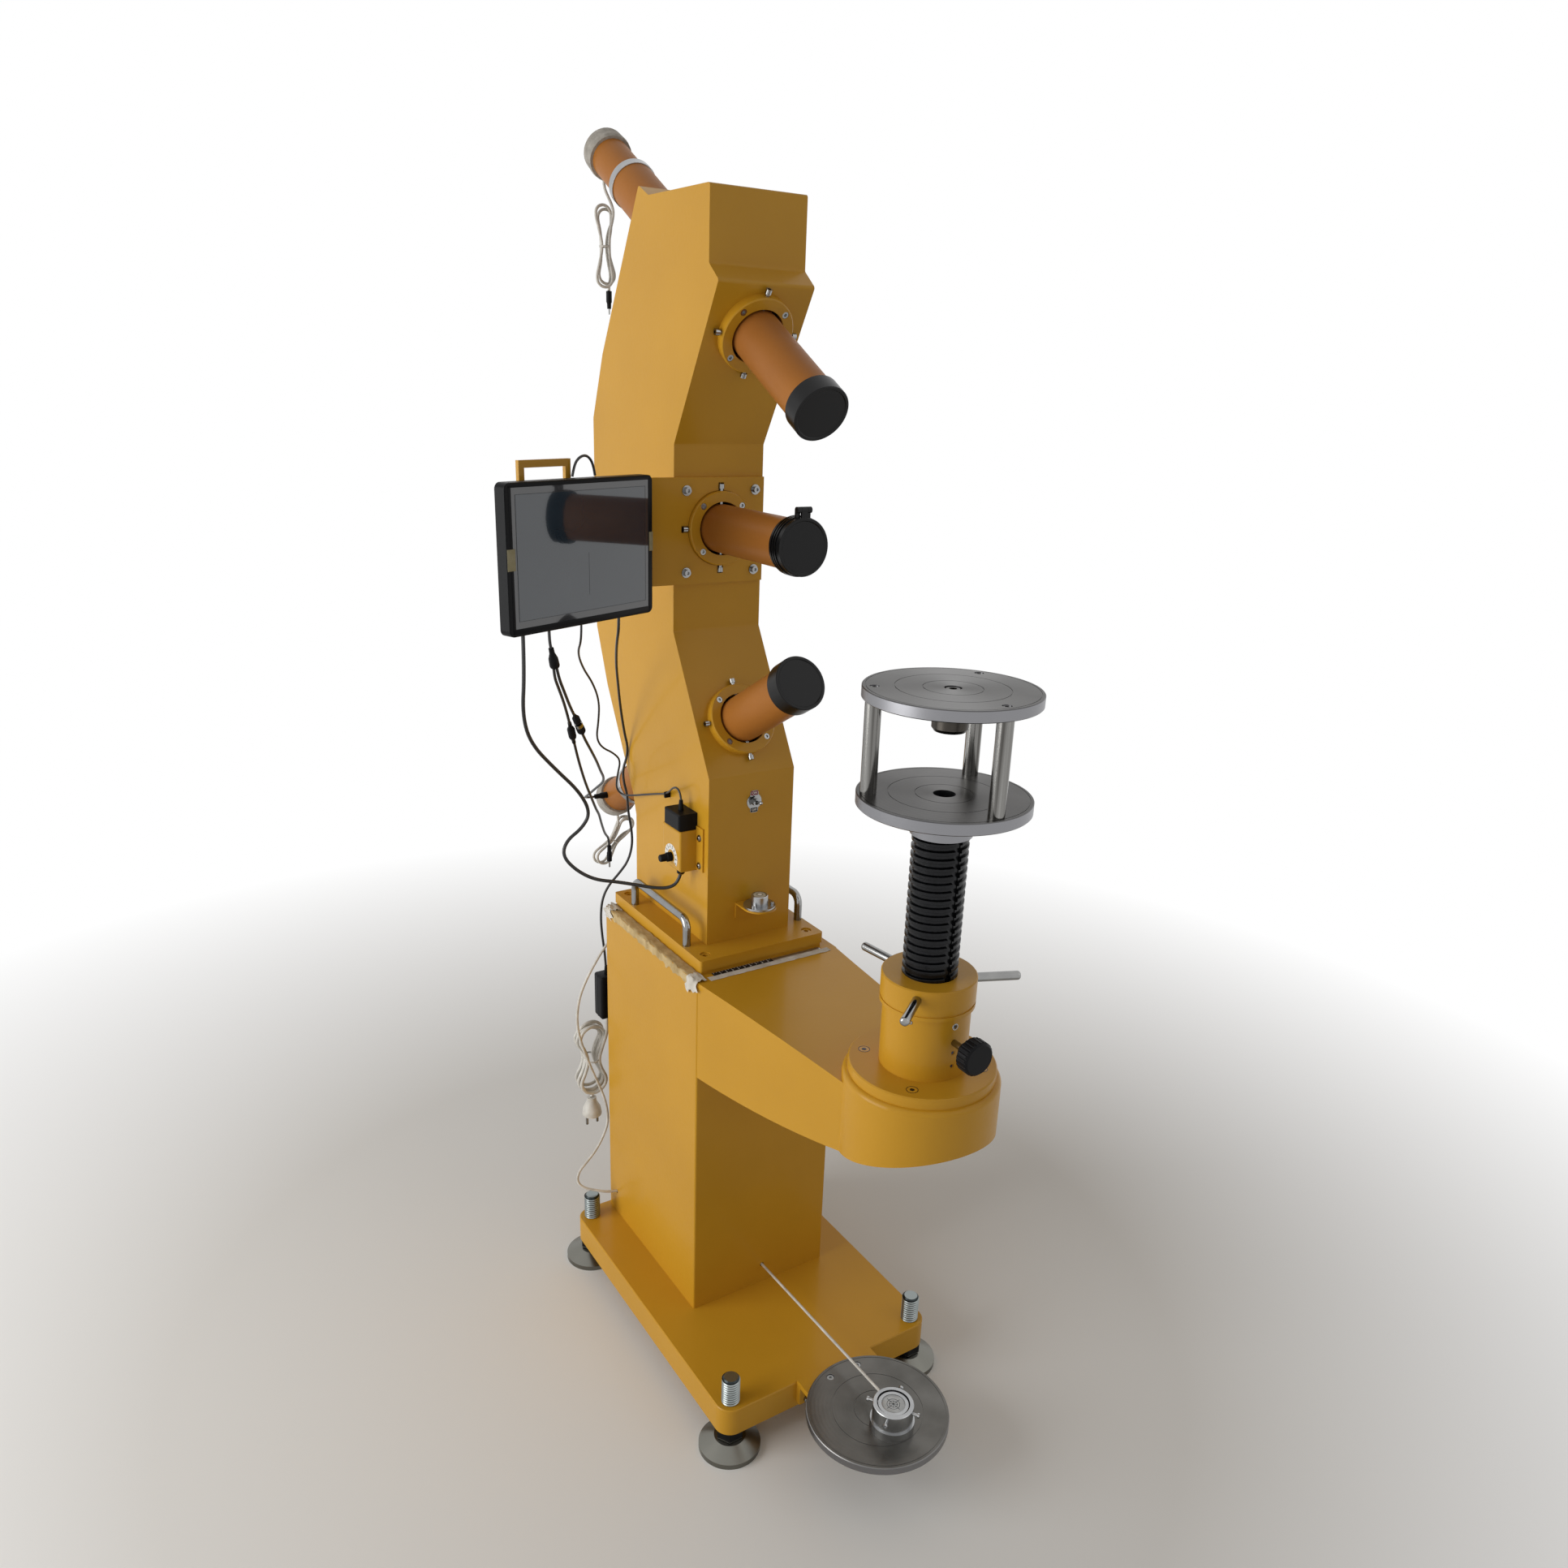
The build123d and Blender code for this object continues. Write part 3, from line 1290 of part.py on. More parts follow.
def make_round_level():
    """The metal body of the round level with its flange, and three adjusting screws."""
    base = level_tongue_z + level_bracket_thickness
    top = level_plate_thickness + level_body_height
    body = turned([
        (0, 0), (level_plate_radius, 0), (level_plate_radius, level_plate_thickness),
        (level_body_radius, level_plate_thickness), (level_body_radius, top - 1), (level_body_radius - 1, top),
        (level_glass_radius, top), (level_glass_radius, top - level_glass_height - 1),
        (0, top - level_glass_height - 1),
    ])
    parts = [Pos(level_x, level_y, base) * body]
    for i in range(3):
        x, y = polar(level_screw_circle, 90.0 + 120.0 * i)
        parts.append(rod(level_screw_radius, level_screw_height, level_x + x, level_y + y, base + level_plate_thickness))
    return parts


def make_level_glass():
    """The domed glass of the round level."""
    base = level_tongue_z + level_bracket_thickness + level_plate_thickness + level_body_height
    height = level_glass_height + 1
    glass = rod(level_glass_radius, height, level_x, level_y, base - height)
    return chamfer(glass.edges().group_by(Axis.Z)[-1], 0.6)


def make_lift_handles():
    """Two bent round bars that stand on the flange, one on each side of the column."""
    handles = []
    for side in (-1, 1):
        x = side * handle_x
        path = FilletPolyline(
            (x, handle_front_y, column_bottom_z), (x, handle_front_y, handle_bar_z),
            (x, handle_rear_y, handle_bar_z), (x, handle_rear_y, column_bottom_z),
            radius=handle_bend_radius,
        )
        section = Plane(origin=(x, handle_front_y, column_bottom_z), z_dir=(0, 0, 1)) * Circle(handle_radius)
        handles.append(sweep(section, path=path))
    return handles


def make_target_bracket():
    """The angle bracket on the base plate that carries the floor target."""
    top = target_disc_top_z - target_disc_thickness
    front = plate_front_y - target_bracket_thickness
    leg = block(
        target_bracket_left_x, target_bracket_right_x, front, plate_front_y, target_bracket_bottom_z, top
    )
    tongue = block(
        target_bracket_left_x, target_bracket_right_x, target_tongue_front_y, front,
        top - target_bracket_thickness, top,
    )
    bracket = leg + tongue
    for side in (-1, 1):
        bracket -= rod(target_screw_radius, 20, side * target_screw_x, target_screw_y, top - 15)
    return bracket


def make_target_disc():
    """The disc that carries the reticle holder."""
    bottom = target_disc_top_z - target_disc_thickness
    radius = target_disc_radius
    edge = disc_edge_radius
    disc = turned([
        (0, bottom), (radius - edge, bottom), (radius, bottom + edge), (radius, target_disc_top_z - edge),
        (radius - edge, target_disc_top_z), (0, target_disc_top_z),
    ]) - disc_grooves(target_disc_top_z)
    disc = Pos(0, target_y, 0) * disc
    for side in (-1, 1):
        x = side * target_screw_x
        disc -= rod(target_screw_radius, target_disc_thickness, x, target_screw_y, bottom)
        disc -= rod(target_screw_head_radius + 0.5, 5.0, x, target_screw_y, target_disc_top_z - 5.0)
    return disc


def make_target_screws():
    """Two screws that hold the target disc on its bracket."""
    screws = []
    for side in (-1, 1):
        screw = cap_screw(target_screw_head_radius, 4.0, target_screw_radius, target_disc_thickness - 5.0 + 8.0)
        screws.append(Pos(side * target_screw_x, target_screw_y, target_disc_top_z - 5.0) * screw)
    return screws


def make_target_holder():
    """The stepped holder of the reticle, on the axis of the stand."""
    top = holder_height
    body = turned([
        (0, 0), (holder_base_radius, 0), (holder_base_radius, holder_base_height),
        (holder_radius, holder_base_height), (holder_radius, top - 0.8), (holder_radius - 0.8, top),
        (holder_bore_radius, top), (holder_bore_radius, top - holder_bore_depth), (0, top - holder_bore_depth),
    ])
    for i in range(4):
        x, y = polar(1.0, holder_screw_first_angle + 90.0 * i)
        place = toward((x, y, 0), (0, 0, top - holder_screw_drop))
        body -= place * rod(holder_screw_radius, holder_radius + 1)
    return Pos(0, 0, target_disc_top_z) * body


def make_target_cell():
    """The cell with the glass reticle, and the four screws that centre it."""
    floor_z = holder_height - holder_bore_depth
    top = floor_z + cell_height
    inner = cell_radius - cell_rim
    cell = turned([
        (0, floor_z), (cell_radius, floor_z), (cell_radius, top - 0.5), (cell_radius - 0.5, top),
        (inner, top), (inner, top - cell_recess), (0, top - cell_recess),
    ])
    parts = [cell]
    for i in range(4):
        x, y = polar(1.0, holder_screw_first_angle + 90.0 * i)
        head = holder_screw_reach - 3.0
        screw = cap_screw(holder_screw_head_radius, 3.0, holder_screw_radius, head - cell_radius)
        place = toward((x, y, 0), (x * head, y * head, holder_height - holder_screw_drop))
        parts.append(place * screw)
    return [Pos(0, 0, target_disc_top_z) * part for part in parts]


def make_top_screw():
    """The screw in the top of the column."""
    screw = cap_screw(top_screw_head_radius, top_screw_head_height, top_screw_radius, top_screw_length)
    return top_screw_place() * screw


def make_all():
    """Every rigid piece, by node name."""
    nodes = {
        "base_plate": make_base_plate(),
        "pedestal": make_pedestal(),
        "column_flange": make_column_flange(),
        "column_shell": make_column_shell(),
        "lift_handles": make_lift_handles(),
        "mount_rings": make_mount_rings(),
        "adjusting_screws": make_adjusting_screws(),
        "objective_lenses": make_objective_lenses(),
        "rear_barrels": make_rear_barrels(),
        "end_wraps": [make_wrap("top"), make_wrap("bottom")],
        "top_lens_cap": make_slip_cap("top"),
        "bottom_lens_cap": make_slip_cap("bottom"),
        "flip_cap_ring": make_flip_ring(),
        "flip_cap_lid": make_flip_lid(),
        "mounting_plate": make_mounting_plate(),
        "monitor_housing": make_monitor_housing(),
        "monitor_keys": make_monitor_keys(),
        "monitor_screen": make_monitor_screen(),
        "monitor_bracket": make_monitor_bracket(),
        "control_box": make_control_box(),
        "adapter": make_adapter(),
        "dimmer_knob": make_dimmer_knob(),
        "toggle_switch": make_toggle_switch(),
        "toggle_lever": make_toggle_lever(),
        "level_bracket": make_level_bracket(),
        "round_level": make_round_level(),
        "level_glass": make_level_glass(),
        "stand_housing": make_stand_housing(),
        "clamp_knob": make_clamp_knob(),
        "elevating_nut": make_elevating_nut(),
        "nut_levers": make_nut_levers(),
        "threaded_column": make_threaded_column(),
        "lower_disc": make_lower_disc(),
        "stage_posts": make_stage_posts() + make_post_screws(),
        "upper_disc": make_upper_disc(),
        "centring_screw": make_centring_screw(),
        "target_bracket": make_target_bracket(),
        "target_disc": make_target_disc(),
        "target_holder": make_target_holder(),
        "target_cell": make_target_cell(),
    }
    nodes["frame_screws"] = [
        *make_flange_bolts(), *make_ring_screws(), *make_mount_bolts(), *make_box_screws(),
        *make_stand_screws(), *make_target_screws(), make_top_screw(),
    ]
    for name in tilts:
        nodes[name + "_tube"] = make_tube(name)
    for name, (x, y) in foot_places().items():
        nodes["foot_" + name] = make_foot(x, y)
    return nodes


def lead(name, points, diameter):
    """A free cord as a tube of straight runs and the widest tangent arcs that they allow."""
    corners = []
    for before, here, after in zip(points, points[1:], points[2:]):
        run_in = Vector(*here) - Vector(*before)
        run_out = Vector(*after) - Vector(*here)
        shorter = min(run_in.length, run_out.length)
        corners.append(0.45 * shorter / tan(radians(run_in.get_angle(run_out)) / 2))
    path = FilletPolyline(*points, radius=corners)
    tube = sweep(Plane(origin=points[0], z_dir=path % 0) * Circle(diameter / 2), path=path)
    share = tube.volume / (pi * diameter ** 2 / 4 * path.length)
    print(name, "length", round(path.length), "smallest radius", round(min(corners), 1), "volume", round(share, 4))
    return tube


def straight_lead(start, end, diameter):
    """A cord that is pulled straight."""
    run = Vector(*end) - Vector(*start)
    return toward(run, start) * rod(diameter / 2, run.length)


def wrap_underside(name, y):
    """Where a lead comes out under the wrap of a rear barrel, in the plane of symmetry."""
    tilt = radians(tilts[name])
    along = (y - wrap_radius * sin(tilt)) / cos(tilt)
    surface = axis_height + along * sin(tilt) - wrap_radius * cos(tilt)
    return surface - white_diameter / 2 * abs(tan(tilt)) - face_gap


def hank(centre, size, exit_point, diameter):
    """The outer shape of a tied hank that hangs below the point where its lead comes out."""
    width, thickness, height = size
    outline = SlotOverall(height, width, rotation=90)
    body = Pos(*centre) * extrude(Plane.XZ * outline, thickness / 2, both=True)
    body = fillet(body.faces().filter_by(Axis.Y).edges(), thickness * 0.35)
    top = (exit_point[0], centre[1], centre[2] + height / 2 - thickness / 2)
    return body + straight_lead(top, exit_point, diameter)


def fitting(start, end, start_radius, end_radius):
    """A moulded piece on a cord, round and tapered between two points."""
    axis = Vector(*end) - Vector(*start)
    body = turned([(0, 0), (start_radius, 0), (end_radius, axis.length), (0, axis.length)])
    return toward(axis, start) * body


def make_cords():
    """Every cord, hank and piece on a cord, by node name."""
    top_hank = (0, top_hank_y, wrap_underside("top", top_hank_y) - top_hank_drop)
    lower_hank = (lower_hank_x, lower_hank_y, wrap_underside("bottom", lower_hank_y) - lower_hank_drop)
    plug_top = top_hank[2] - top_hank_size[2] / 2
    mains_end = (mains_coil[0], mains_coil[1], mains_coil[2] - mains_coil_size[2] / 2)
    plug_face = mains_end[2] - mains_plug_length
    pins = [
        rod(mains_pin_radius, mains_pin_length, mains_end[0] + side * mains_pin_x, mains_end[1], plug_face - mains_pin_length)
        for side in (-1, 1)
    ]
    fittings = [
        fitting(video_fork_top, video_fork_bottom, 3.5, 6.5),
        fitting(*left_connector, 5.0, 5.0),
        fitting(*right_connector, 5.5, 5.5),
        fitting(right_branch_route[-1], barrel_plug_end, 4.5, 5.5),
        fitting(lamp_plug_top, (lamp_plug_top[0], lamp_plug_top[1], lamp_plug_top[2] - 30.0), 3.5, 4.5),
        fitting((6, top_hank_y, plug_top), (6, top_hank_y, plug_top - 26.0), 4.5, 3.0),
        fitting(mains_end, (mains_end[0], mains_end[1], plug_face), 8.0, 17.0) + pins,
        block(-column_side_x - clip_depth, -column_side_x, *clip_y, *clip_z),
        fillet(block(*brick_x, *brick_y, *brick_z).edges(), 4.0),
    ]
    return {
        "power_lead": lead("power_lead", power_route, power_diameter),
        "video_branch_left": lead("video_branch_left", left_branch_route, branch_diameter),
        "video_branch_right": lead("video_branch_right", right_branch_route, branch_diameter),
        "adapter_lead": lead("adapter_lead", adapter_route, adapter_diameter),
        "brick_lead": lead("brick_lead", brick_route, brick_diameter),
        "feed_lead": lead("feed_lead", feed_route, white_diameter),
        "target_lead": straight_lead(*target_route, target_diameter),
        "top_hank": hank(top_hank, top_hank_size, (0, top_hank_y, wrap_underside("top", top_hank_y)), white_diameter),
        "lower_hank": hank(
            lower_hank, lower_hank_size, (lower_hank_exit_x, lower_hank_y, wrap_underside("bottom", lower_hank_y)),
            white_diameter,
        ),
        "mains_coil": hank(mains_coil, mains_coil_size, (brick_lead_x, sum(brick_y) / 2, brick_z[0] - 1.2), mains_diameter),
        "cord_fittings": fittings,
    }


def as_shape(piece):
    """One shape for a node, also where it has several separate solids."""
    if isinstance(piece, (list, tuple)):
        return Compound(children=[solid for part in piece for solid in part.solids()])
    return piece


def write_all():
    """Move everything to the object's origin and write one file for each node."""
    rigid = {name: as_shape(piece) for name, piece in make_all().items()}
    boxes = [piece.bounding_box() for piece in rigid.values()]
    middle_x = (min(box.min.X for box in boxes) + max(box.max.X for box in boxes)) / 2
    middle_y = (min(box.min.Y for box in boxes) + max(box.max.Y for box in boxes)) / 2
    home = Pos(-middle_x, -middle_y, -min(box.min.Z for box in boxes))
    print("origin moved by", home.position)
    os.makedirs("parts", exist_ok=True)
    cords = {name: as_shape(piece) for name, piece in make_cords().items()}
    for name, piece in {**rigid, **cords}.items():
        export_step(home * piece, "parts/" + name + ".step")


write_all()
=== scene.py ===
"""Finishes the three-collimator test stand: paint, metals, threads, dials, tapes and leads.

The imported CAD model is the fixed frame. Places are written in metres from the axis of the
instrument stand and the floor, as in the part's source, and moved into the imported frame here.
"""
import json
import math

import bmesh
import bpy
import mathutils
from mathutils import Matrix, Vector


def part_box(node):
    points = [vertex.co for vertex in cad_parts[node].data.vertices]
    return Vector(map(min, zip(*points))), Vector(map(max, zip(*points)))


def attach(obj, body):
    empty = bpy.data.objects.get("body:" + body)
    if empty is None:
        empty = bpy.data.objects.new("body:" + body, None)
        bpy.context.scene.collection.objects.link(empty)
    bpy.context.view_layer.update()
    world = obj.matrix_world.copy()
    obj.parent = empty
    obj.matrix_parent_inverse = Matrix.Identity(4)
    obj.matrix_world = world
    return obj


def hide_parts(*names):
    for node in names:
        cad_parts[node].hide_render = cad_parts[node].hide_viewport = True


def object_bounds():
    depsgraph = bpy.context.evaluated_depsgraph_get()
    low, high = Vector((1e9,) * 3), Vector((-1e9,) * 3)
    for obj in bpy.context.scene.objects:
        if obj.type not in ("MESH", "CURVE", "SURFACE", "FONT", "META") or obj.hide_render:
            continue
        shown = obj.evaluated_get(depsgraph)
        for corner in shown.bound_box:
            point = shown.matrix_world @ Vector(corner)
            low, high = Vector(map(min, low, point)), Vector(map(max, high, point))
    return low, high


bl_info = {
    "name": "Collimator stand finish",
    "version": (1, 0, 0),
    "blender": (4, 5, 0),
    "location": "View3D > Sidebar > Collimator",
    "description": "Adds the finishes, threads, marks and leads of a three-collimator test stand",
    "category": "Object",
}

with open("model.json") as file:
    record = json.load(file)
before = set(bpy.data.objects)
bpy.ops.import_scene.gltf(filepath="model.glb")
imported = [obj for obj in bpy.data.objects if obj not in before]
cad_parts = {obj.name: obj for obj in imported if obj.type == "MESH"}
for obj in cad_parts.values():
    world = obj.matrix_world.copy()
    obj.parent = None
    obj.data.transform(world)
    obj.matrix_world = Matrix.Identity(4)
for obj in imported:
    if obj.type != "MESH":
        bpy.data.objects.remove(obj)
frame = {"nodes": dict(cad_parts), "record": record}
cad_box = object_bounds()
joints = {joint["name"]: joint for joint in frame["record"]["behaviour"]["joints"]}
stand_axis = Vector(joints["nut_turn"]["pos_m"][:2] + [0.0])
photo_pixels = 1932
fan = {"top": 30.0, "middle": 0.0, "bottom": -30.0}
axes_meet = Vector((0.0, 0.0, 1.2604))

# Routes of the leads, in metres from the stand's axis. All but the loop's are those of the part's source.
power_route = [
    (-0.3304, 0.4256, 1.1547), (-0.3304, 0.4256, 1.104), (-0.331, 0.437, 1.048), (-0.314, 0.456, 1.003),
    (-0.272, 0.479, 0.956), (-0.232, 0.493, 0.914), (-0.213, 0.5, 0.878), (-0.226, 0.5, 0.857),
    (-0.251, 0.498, 0.843), (-0.259, 0.495, 0.823), (-0.242, 0.491, 0.8), (-0.215, 0.487, 0.781),
    (-0.182, 0.482, 0.773), (-0.152, 0.477, 0.764), (-0.128, 0.471, 0.757), (-0.108, 0.465, 0.755),
    (-0.094, 0.462, 0.762), (-0.09, 0.461, 0.777),
]
left_branch_route = [
    (-0.2896, 0.442, 1.1547), (-0.2896, 0.442, 1.139), (-0.2862, 0.4446, 1.126),
    (-0.2814, 0.451, 1.102), (-0.278, 0.456, 1.086), (-0.268, 0.47, 1.07), (-0.251, 0.494, 1.043),
    (-0.234, 0.519, 1.01), (-0.215, 0.546, 0.966), (-0.202, 0.563, 0.934), (-0.181, 0.59, 0.891),
    (-0.158, 0.618, 0.852), (-0.141, 0.642, 0.826), (-0.125, 0.668, 0.808), (-0.108, 0.699, 0.782),
    (-0.085, 0.74, 0.75), (-0.064, 0.781, 0.727), (-0.047, 0.812, 0.71), (-0.036, 0.829, 0.698),
    (-0.032, 0.835, 0.682),
]
right_branch_route = [
    (-0.2766, 0.453, 1.102), (-0.272, 0.458, 1.086), (-0.258, 0.474, 1.062), (-0.241, 0.496, 1.034),
    (-0.221, 0.518, 1.005), (-0.203, 0.541, 0.976), (-0.184, 0.562, 0.95), (-0.16, 0.595, 0.92),
    (-0.138, 0.63, 0.891), (-0.116, 0.668, 0.868), (-0.099, 0.708, 0.845), (-0.092, 0.755, 0.819),
    (-0.086, 0.8, 0.793), (-0.076, 0.84, 0.7745), (-0.052, 0.8487, 0.7704),
]
adapter_route = [
    (-0.0856, 0.47, 0.8863), (-0.086, 0.4715, 0.896), (-0.0866, 0.481, 0.902), (-0.086, 0.495, 0.897),
    (-0.081, 0.513, 0.886), (-0.077, 0.533, 0.875), (-0.075, 0.565, 0.865), (-0.076, 0.602, 0.853),
    (-0.08, 0.638, 0.841), (-0.089, 0.657, 0.837), (-0.098, 0.663, 0.848), (-0.098, 0.656, 0.873),
    (-0.096, 0.648, 0.898), (-0.112, 0.641, 0.914), (-0.134, 0.634, 0.927), (-0.146, 0.626, 0.946),
    (-0.15, 0.608, 0.976), (-0.158, 0.586, 1.012), (-0.178, 0.561, 1.046), (-0.205, 0.535, 1.077),
    (-0.228, 0.498, 1.108), (-0.2366, 0.4633, 1.131), (-0.2366, 0.4633, 1.1547),
]
brick_route = [
    (-0.1712, 0.4895, 1.1547), (-0.1712, 0.4895, 1.136), (-0.164, 0.511, 1.116), (-0.151, 0.542, 1.091),
    (-0.136, 0.574, 1.062), (-0.121, 0.601, 1.031), (-0.107, 0.626, 0.998), (-0.095, 0.644, 0.966),
    (-0.083, 0.66, 0.934), (-0.074, 0.669, 0.912), (-0.073, 0.674, 0.893), (-0.081, 0.673, 0.874),
    (-0.08, 0.672, 0.853), (-0.073, 0.674, 0.831), (-0.071, 0.676, 0.801), (-0.064, 0.678, 0.768),
    (-0.062, 0.68, 0.74), (-0.069, 0.682, 0.713), (-0.084, 0.684, 0.694), (-0.103, 0.686, 0.675),
    (-0.114, 0.687, 0.652), (-0.117, 0.687, 0.62), (-0.115, 0.686, 0.586), (-0.111, 0.685, 0.552),
    (-0.11, 0.684, 0.519),
]
feed_route = [
    (-0.1145, 0.6305, 0.1228), (-0.136, 0.632, 0.126), (-0.156, 0.64, 0.132), (-0.174, 0.649, 0.137),
    (-0.184, 0.657, 0.149), (-0.177, 0.662, 0.165), (-0.16, 0.665, 0.177), (-0.141, 0.669, 0.192),
    (-0.126, 0.672, 0.213), (-0.115, 0.673, 0.24), (-0.12, 0.674, 0.284), (-0.138, 0.676, 0.334),
    (-0.157, 0.678, 0.39), (-0.168, 0.679, 0.44), (-0.163, 0.678, 0.487), (-0.149, 0.675, 0.523),
    (-0.133, 0.673, 0.551), (-0.118, 0.674, 0.571), (-0.1, 0.679, 0.584), (-0.082, 0.681, 0.59),
    (-0.067, 0.675, 0.592), (-0.061, 0.662, 0.592), (-0.0605, 0.65, 0.592),
]
target_route = [(0.0045, 0.358, 0.1153), (0.0012, 0.029, 0.13)]
loop_route = [
    (-0.2375, 0.479, 1.3352), (-0.2345, 0.4795, 1.349), (-0.227, 0.482, 1.358), (-0.216, 0.487, 1.361),
    (-0.207, 0.491, 1.356), (-0.2015, 0.4935, 1.345), (-0.2, 0.494, 1.3352),
]


def placed(point):
    """A point given from the stand's axis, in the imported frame."""
    return Vector(point) + stand_axis


def at(point):
    """The upright place at a point given from the stand's axis."""
    return Matrix.Translation(placed(point))


def linear(hex_text):
    """A hex sRGB colour as linear red, green, blue and alpha."""
    values = [int(hex_text[i:i + 2], 16) / 255 for i in (1, 3, 5)]
    return [v / 12.92 if v <= 0.04045 else ((v + 0.055) / 1.055) ** 2.4 for v in values] + [1.0]


# ---- Materials


def add_node(tree, kind, settings=None, links=None):
    """Adds a node, sets its properties and sockets, and links sockets into it."""
    node = tree.nodes.new(kind)
    for name, value in (settings or {}).items():
        if isinstance(name, str) and hasattr(node, name):
            setattr(node, name, value)
        else:
            node.inputs[name].default_value = value
    for name, source in (links or {}).items():
        tree.links.new(source, node.inputs[name])
    return node


def worked(tree, operation, first, second=None):
    """What a math node makes of two values, each a number or another node's output."""
    node = add_node(tree, "ShaderNodeMath", {"operation": operation})
    for socket, value in zip(node.inputs, (first, second)):
        if isinstance(value, float):
            socket.default_value = value
        elif value is not None:
            tree.links.new(value, socket)
    return node.outputs["Value"]


def part_of(tree, vector, letter):
    """One of the three parts of a vector."""
    return add_node(tree, "ShaderNodeSeparateXYZ", None, {"Vector": vector}).outputs[letter]


def object_place(tree, **settings):
    """The place on the object, in metres, moved or stretched."""
    place = add_node(tree, "ShaderNodeTexCoord").outputs["Object"]
    return add_node(tree, "ShaderNodeMapping", settings, {"Vector": place}).outputs["Vector"] if settings else place


def cloud(tree, size, detail, stretch):
    """Soft noise with patches of a size in metres, stretched along the axes."""
    settings = {"Scale": 1 / size, "Detail": detail}
    return add_node(tree, "ShaderNodeTexNoise", settings, {"Vector": object_place(tree, Scale=stretch)}).outputs["Fac"]


def raised(tree, shader, height, strength, source):
    """Raises the surface where a pattern is bright."""
    bump = add_node(tree, "ShaderNodeBump", {"Strength": strength, "Distance": height}, {"Height": source})
    tree.links.new(bump.outputs["Normal"], shader.inputs["Normal"])


def new_material(name, **sockets):
    """A material with its main shader's sockets set."""
    material = bpy.data.materials.new(name)
    material.use_nodes = True
    shader = material.node_tree.nodes["Principled BSDF"]
    for socket, value in sockets.items():
        shader.inputs[socket.replace("_", " ")].default_value = value
    return material, material.node_tree, shader


def toned(tree, source, *stops, steps=False):
    """Turns a value into colours, from (position, hex colour) stops."""
    node = add_node(tree, "ShaderNodeValToRGB", None, {"Fac": source})
    ramp = node.color_ramp
    ramp.interpolation = "CONSTANT" if steps else "LINEAR"
    for stop, (position, tone) in zip(ramp.elements, stops):
        stop.position = position
        stop.color = linear(tone)
    for position, tone in stops[2:]:
        ramp.elements.new(position).color = linear(tone)
    return node.outputs["Color"]


def mottle(tree, shader, size, first, second, share=0.5, stretch=(1.0, 1.0, 1.0)):
    """Drifts the base colour between two tones over patches of a size in metres."""
    colour = toned(tree, cloud(tree, size, 3.0, stretch), (share - 0.2, first), (share + 0.2, second))
    tree.links.new(colour, shader.inputs["Base Color"])
    return colour


def grain(tree, shader, size, height, stretch=(1.0, 1.0, 1.0), detail=2.0):
    """Raises a fine surface grain of a size and height in metres, stretched along the axes."""
    noise = cloud(tree, size, detail, stretch)
    raised(tree, shader, height, 1.0, noise)
    return noise


def plain_finish(name, patches=None, tooth=None, **sockets):
    """A finish of mottled colour and grained surface, each given by what mottle or grain takes after the shader."""
    material, tree, shader = new_material(name, **sockets)
    if patches:
        mottle(tree, shader, *patches)
    if tooth:
        grain(tree, shader, *tooth)
    return material


def rings(tree, shader, centre, pitch, height):
    """Raises the fine turning marks of a faced disc, round an upright axis."""
    wave = add_node(
        tree, "ShaderNodeTexWave",
        {"wave_type": "RINGS", "rings_direction": "Z", "Scale": 1 / (pitch * 20), "Distortion": 1.5, "Detail": 1.0,
         "Detail Scale": 2.0},
        {"Vector": object_place(tree, Location=(-centre.x, -centre.y, 0.0))},
    )
    raised(tree, shader, height, 0.6, wave.outputs["Fac"])


def gloss_enamel(name, light, dark, roughness, coat):
    """Sprayed alkyd enamel: even colour, a faint orange peel and a glossy skin."""
    material, tree, shader = new_material(
        name, Roughness=roughness, Specular_IOR_Level=0.18, Coat_Weight=coat, Coat_Roughness=0.12)
    mottle(tree, shader, 0.22, dark, light)
    peel = grain(tree, shader, 0.006, 0.00012)
    rough = add_node(
        tree, "ShaderNodeMapRange", {"To Min": roughness - 0.05, "To Max": roughness + 0.08}, {"Value": peel})
    tree.links.new(rough.outputs["Result"], shader.inputs["Roughness"])
    return material


def faced_steel(name, centre, dark, bright):
    """Stainless plate faced in a lathe: fine rings that spread the highlight, and a rim painted lighter than the top as
    painted light.
    """
    material, tree, shader = new_material(name, Metallic=1.0, Roughness=0.30, Anisotropic=0.7)
    face = mottle(tree, shader, 0.06, dark, bright)
    # Painted light: faces are toned by how far they point up, so the top keeps the dark face tones and upright faces
    # such as the rim get the lighter #87878A.
    normal = add_node(tree, "ShaderNodeNewGeometry").outputs["Normal"]
    level = worked(tree, "ABSOLUTE", part_of(tree, normal, "Z"))
    tone = add_node(tree, "ShaderNodeMix", {"data_type": "RGBA", 6: linear("#87878A")}, {0: level, 7: face})
    tree.links.new(tone.outputs[2], shader.inputs["Base Color"])
    rings(tree, shader, centre, 0.0009, 0.00002)
    tangent = add_node(tree, "ShaderNodeTangent", {"direction_type": "RADIAL", "axis": "Z"})
    tree.links.new(tangent.outputs["Tangent"], shader.inputs["Tangent"])
    return material


def polished_steel(name, tone, bright, roughness, stretch=(1.0, 1.0, 1.0)):
    """Ground and polished bar: bright, with faint grinding marks along one way."""
    return plain_finish(
        name, (0.02, tone, bright, 0.6), (0.0012, 0.000015, stretch), Metallic=1.0, Roughness=roughness)


def moulded_black(name, tone, roughness, gloss=0.22):
    """Injection-moulded plastic with a spark-eroded grain."""
    return plain_finish(
        name, None, (0.0008, 0.00004), Base_Color=linear(tone), Roughness=roughness, Specular_IOR_Level=gloss)


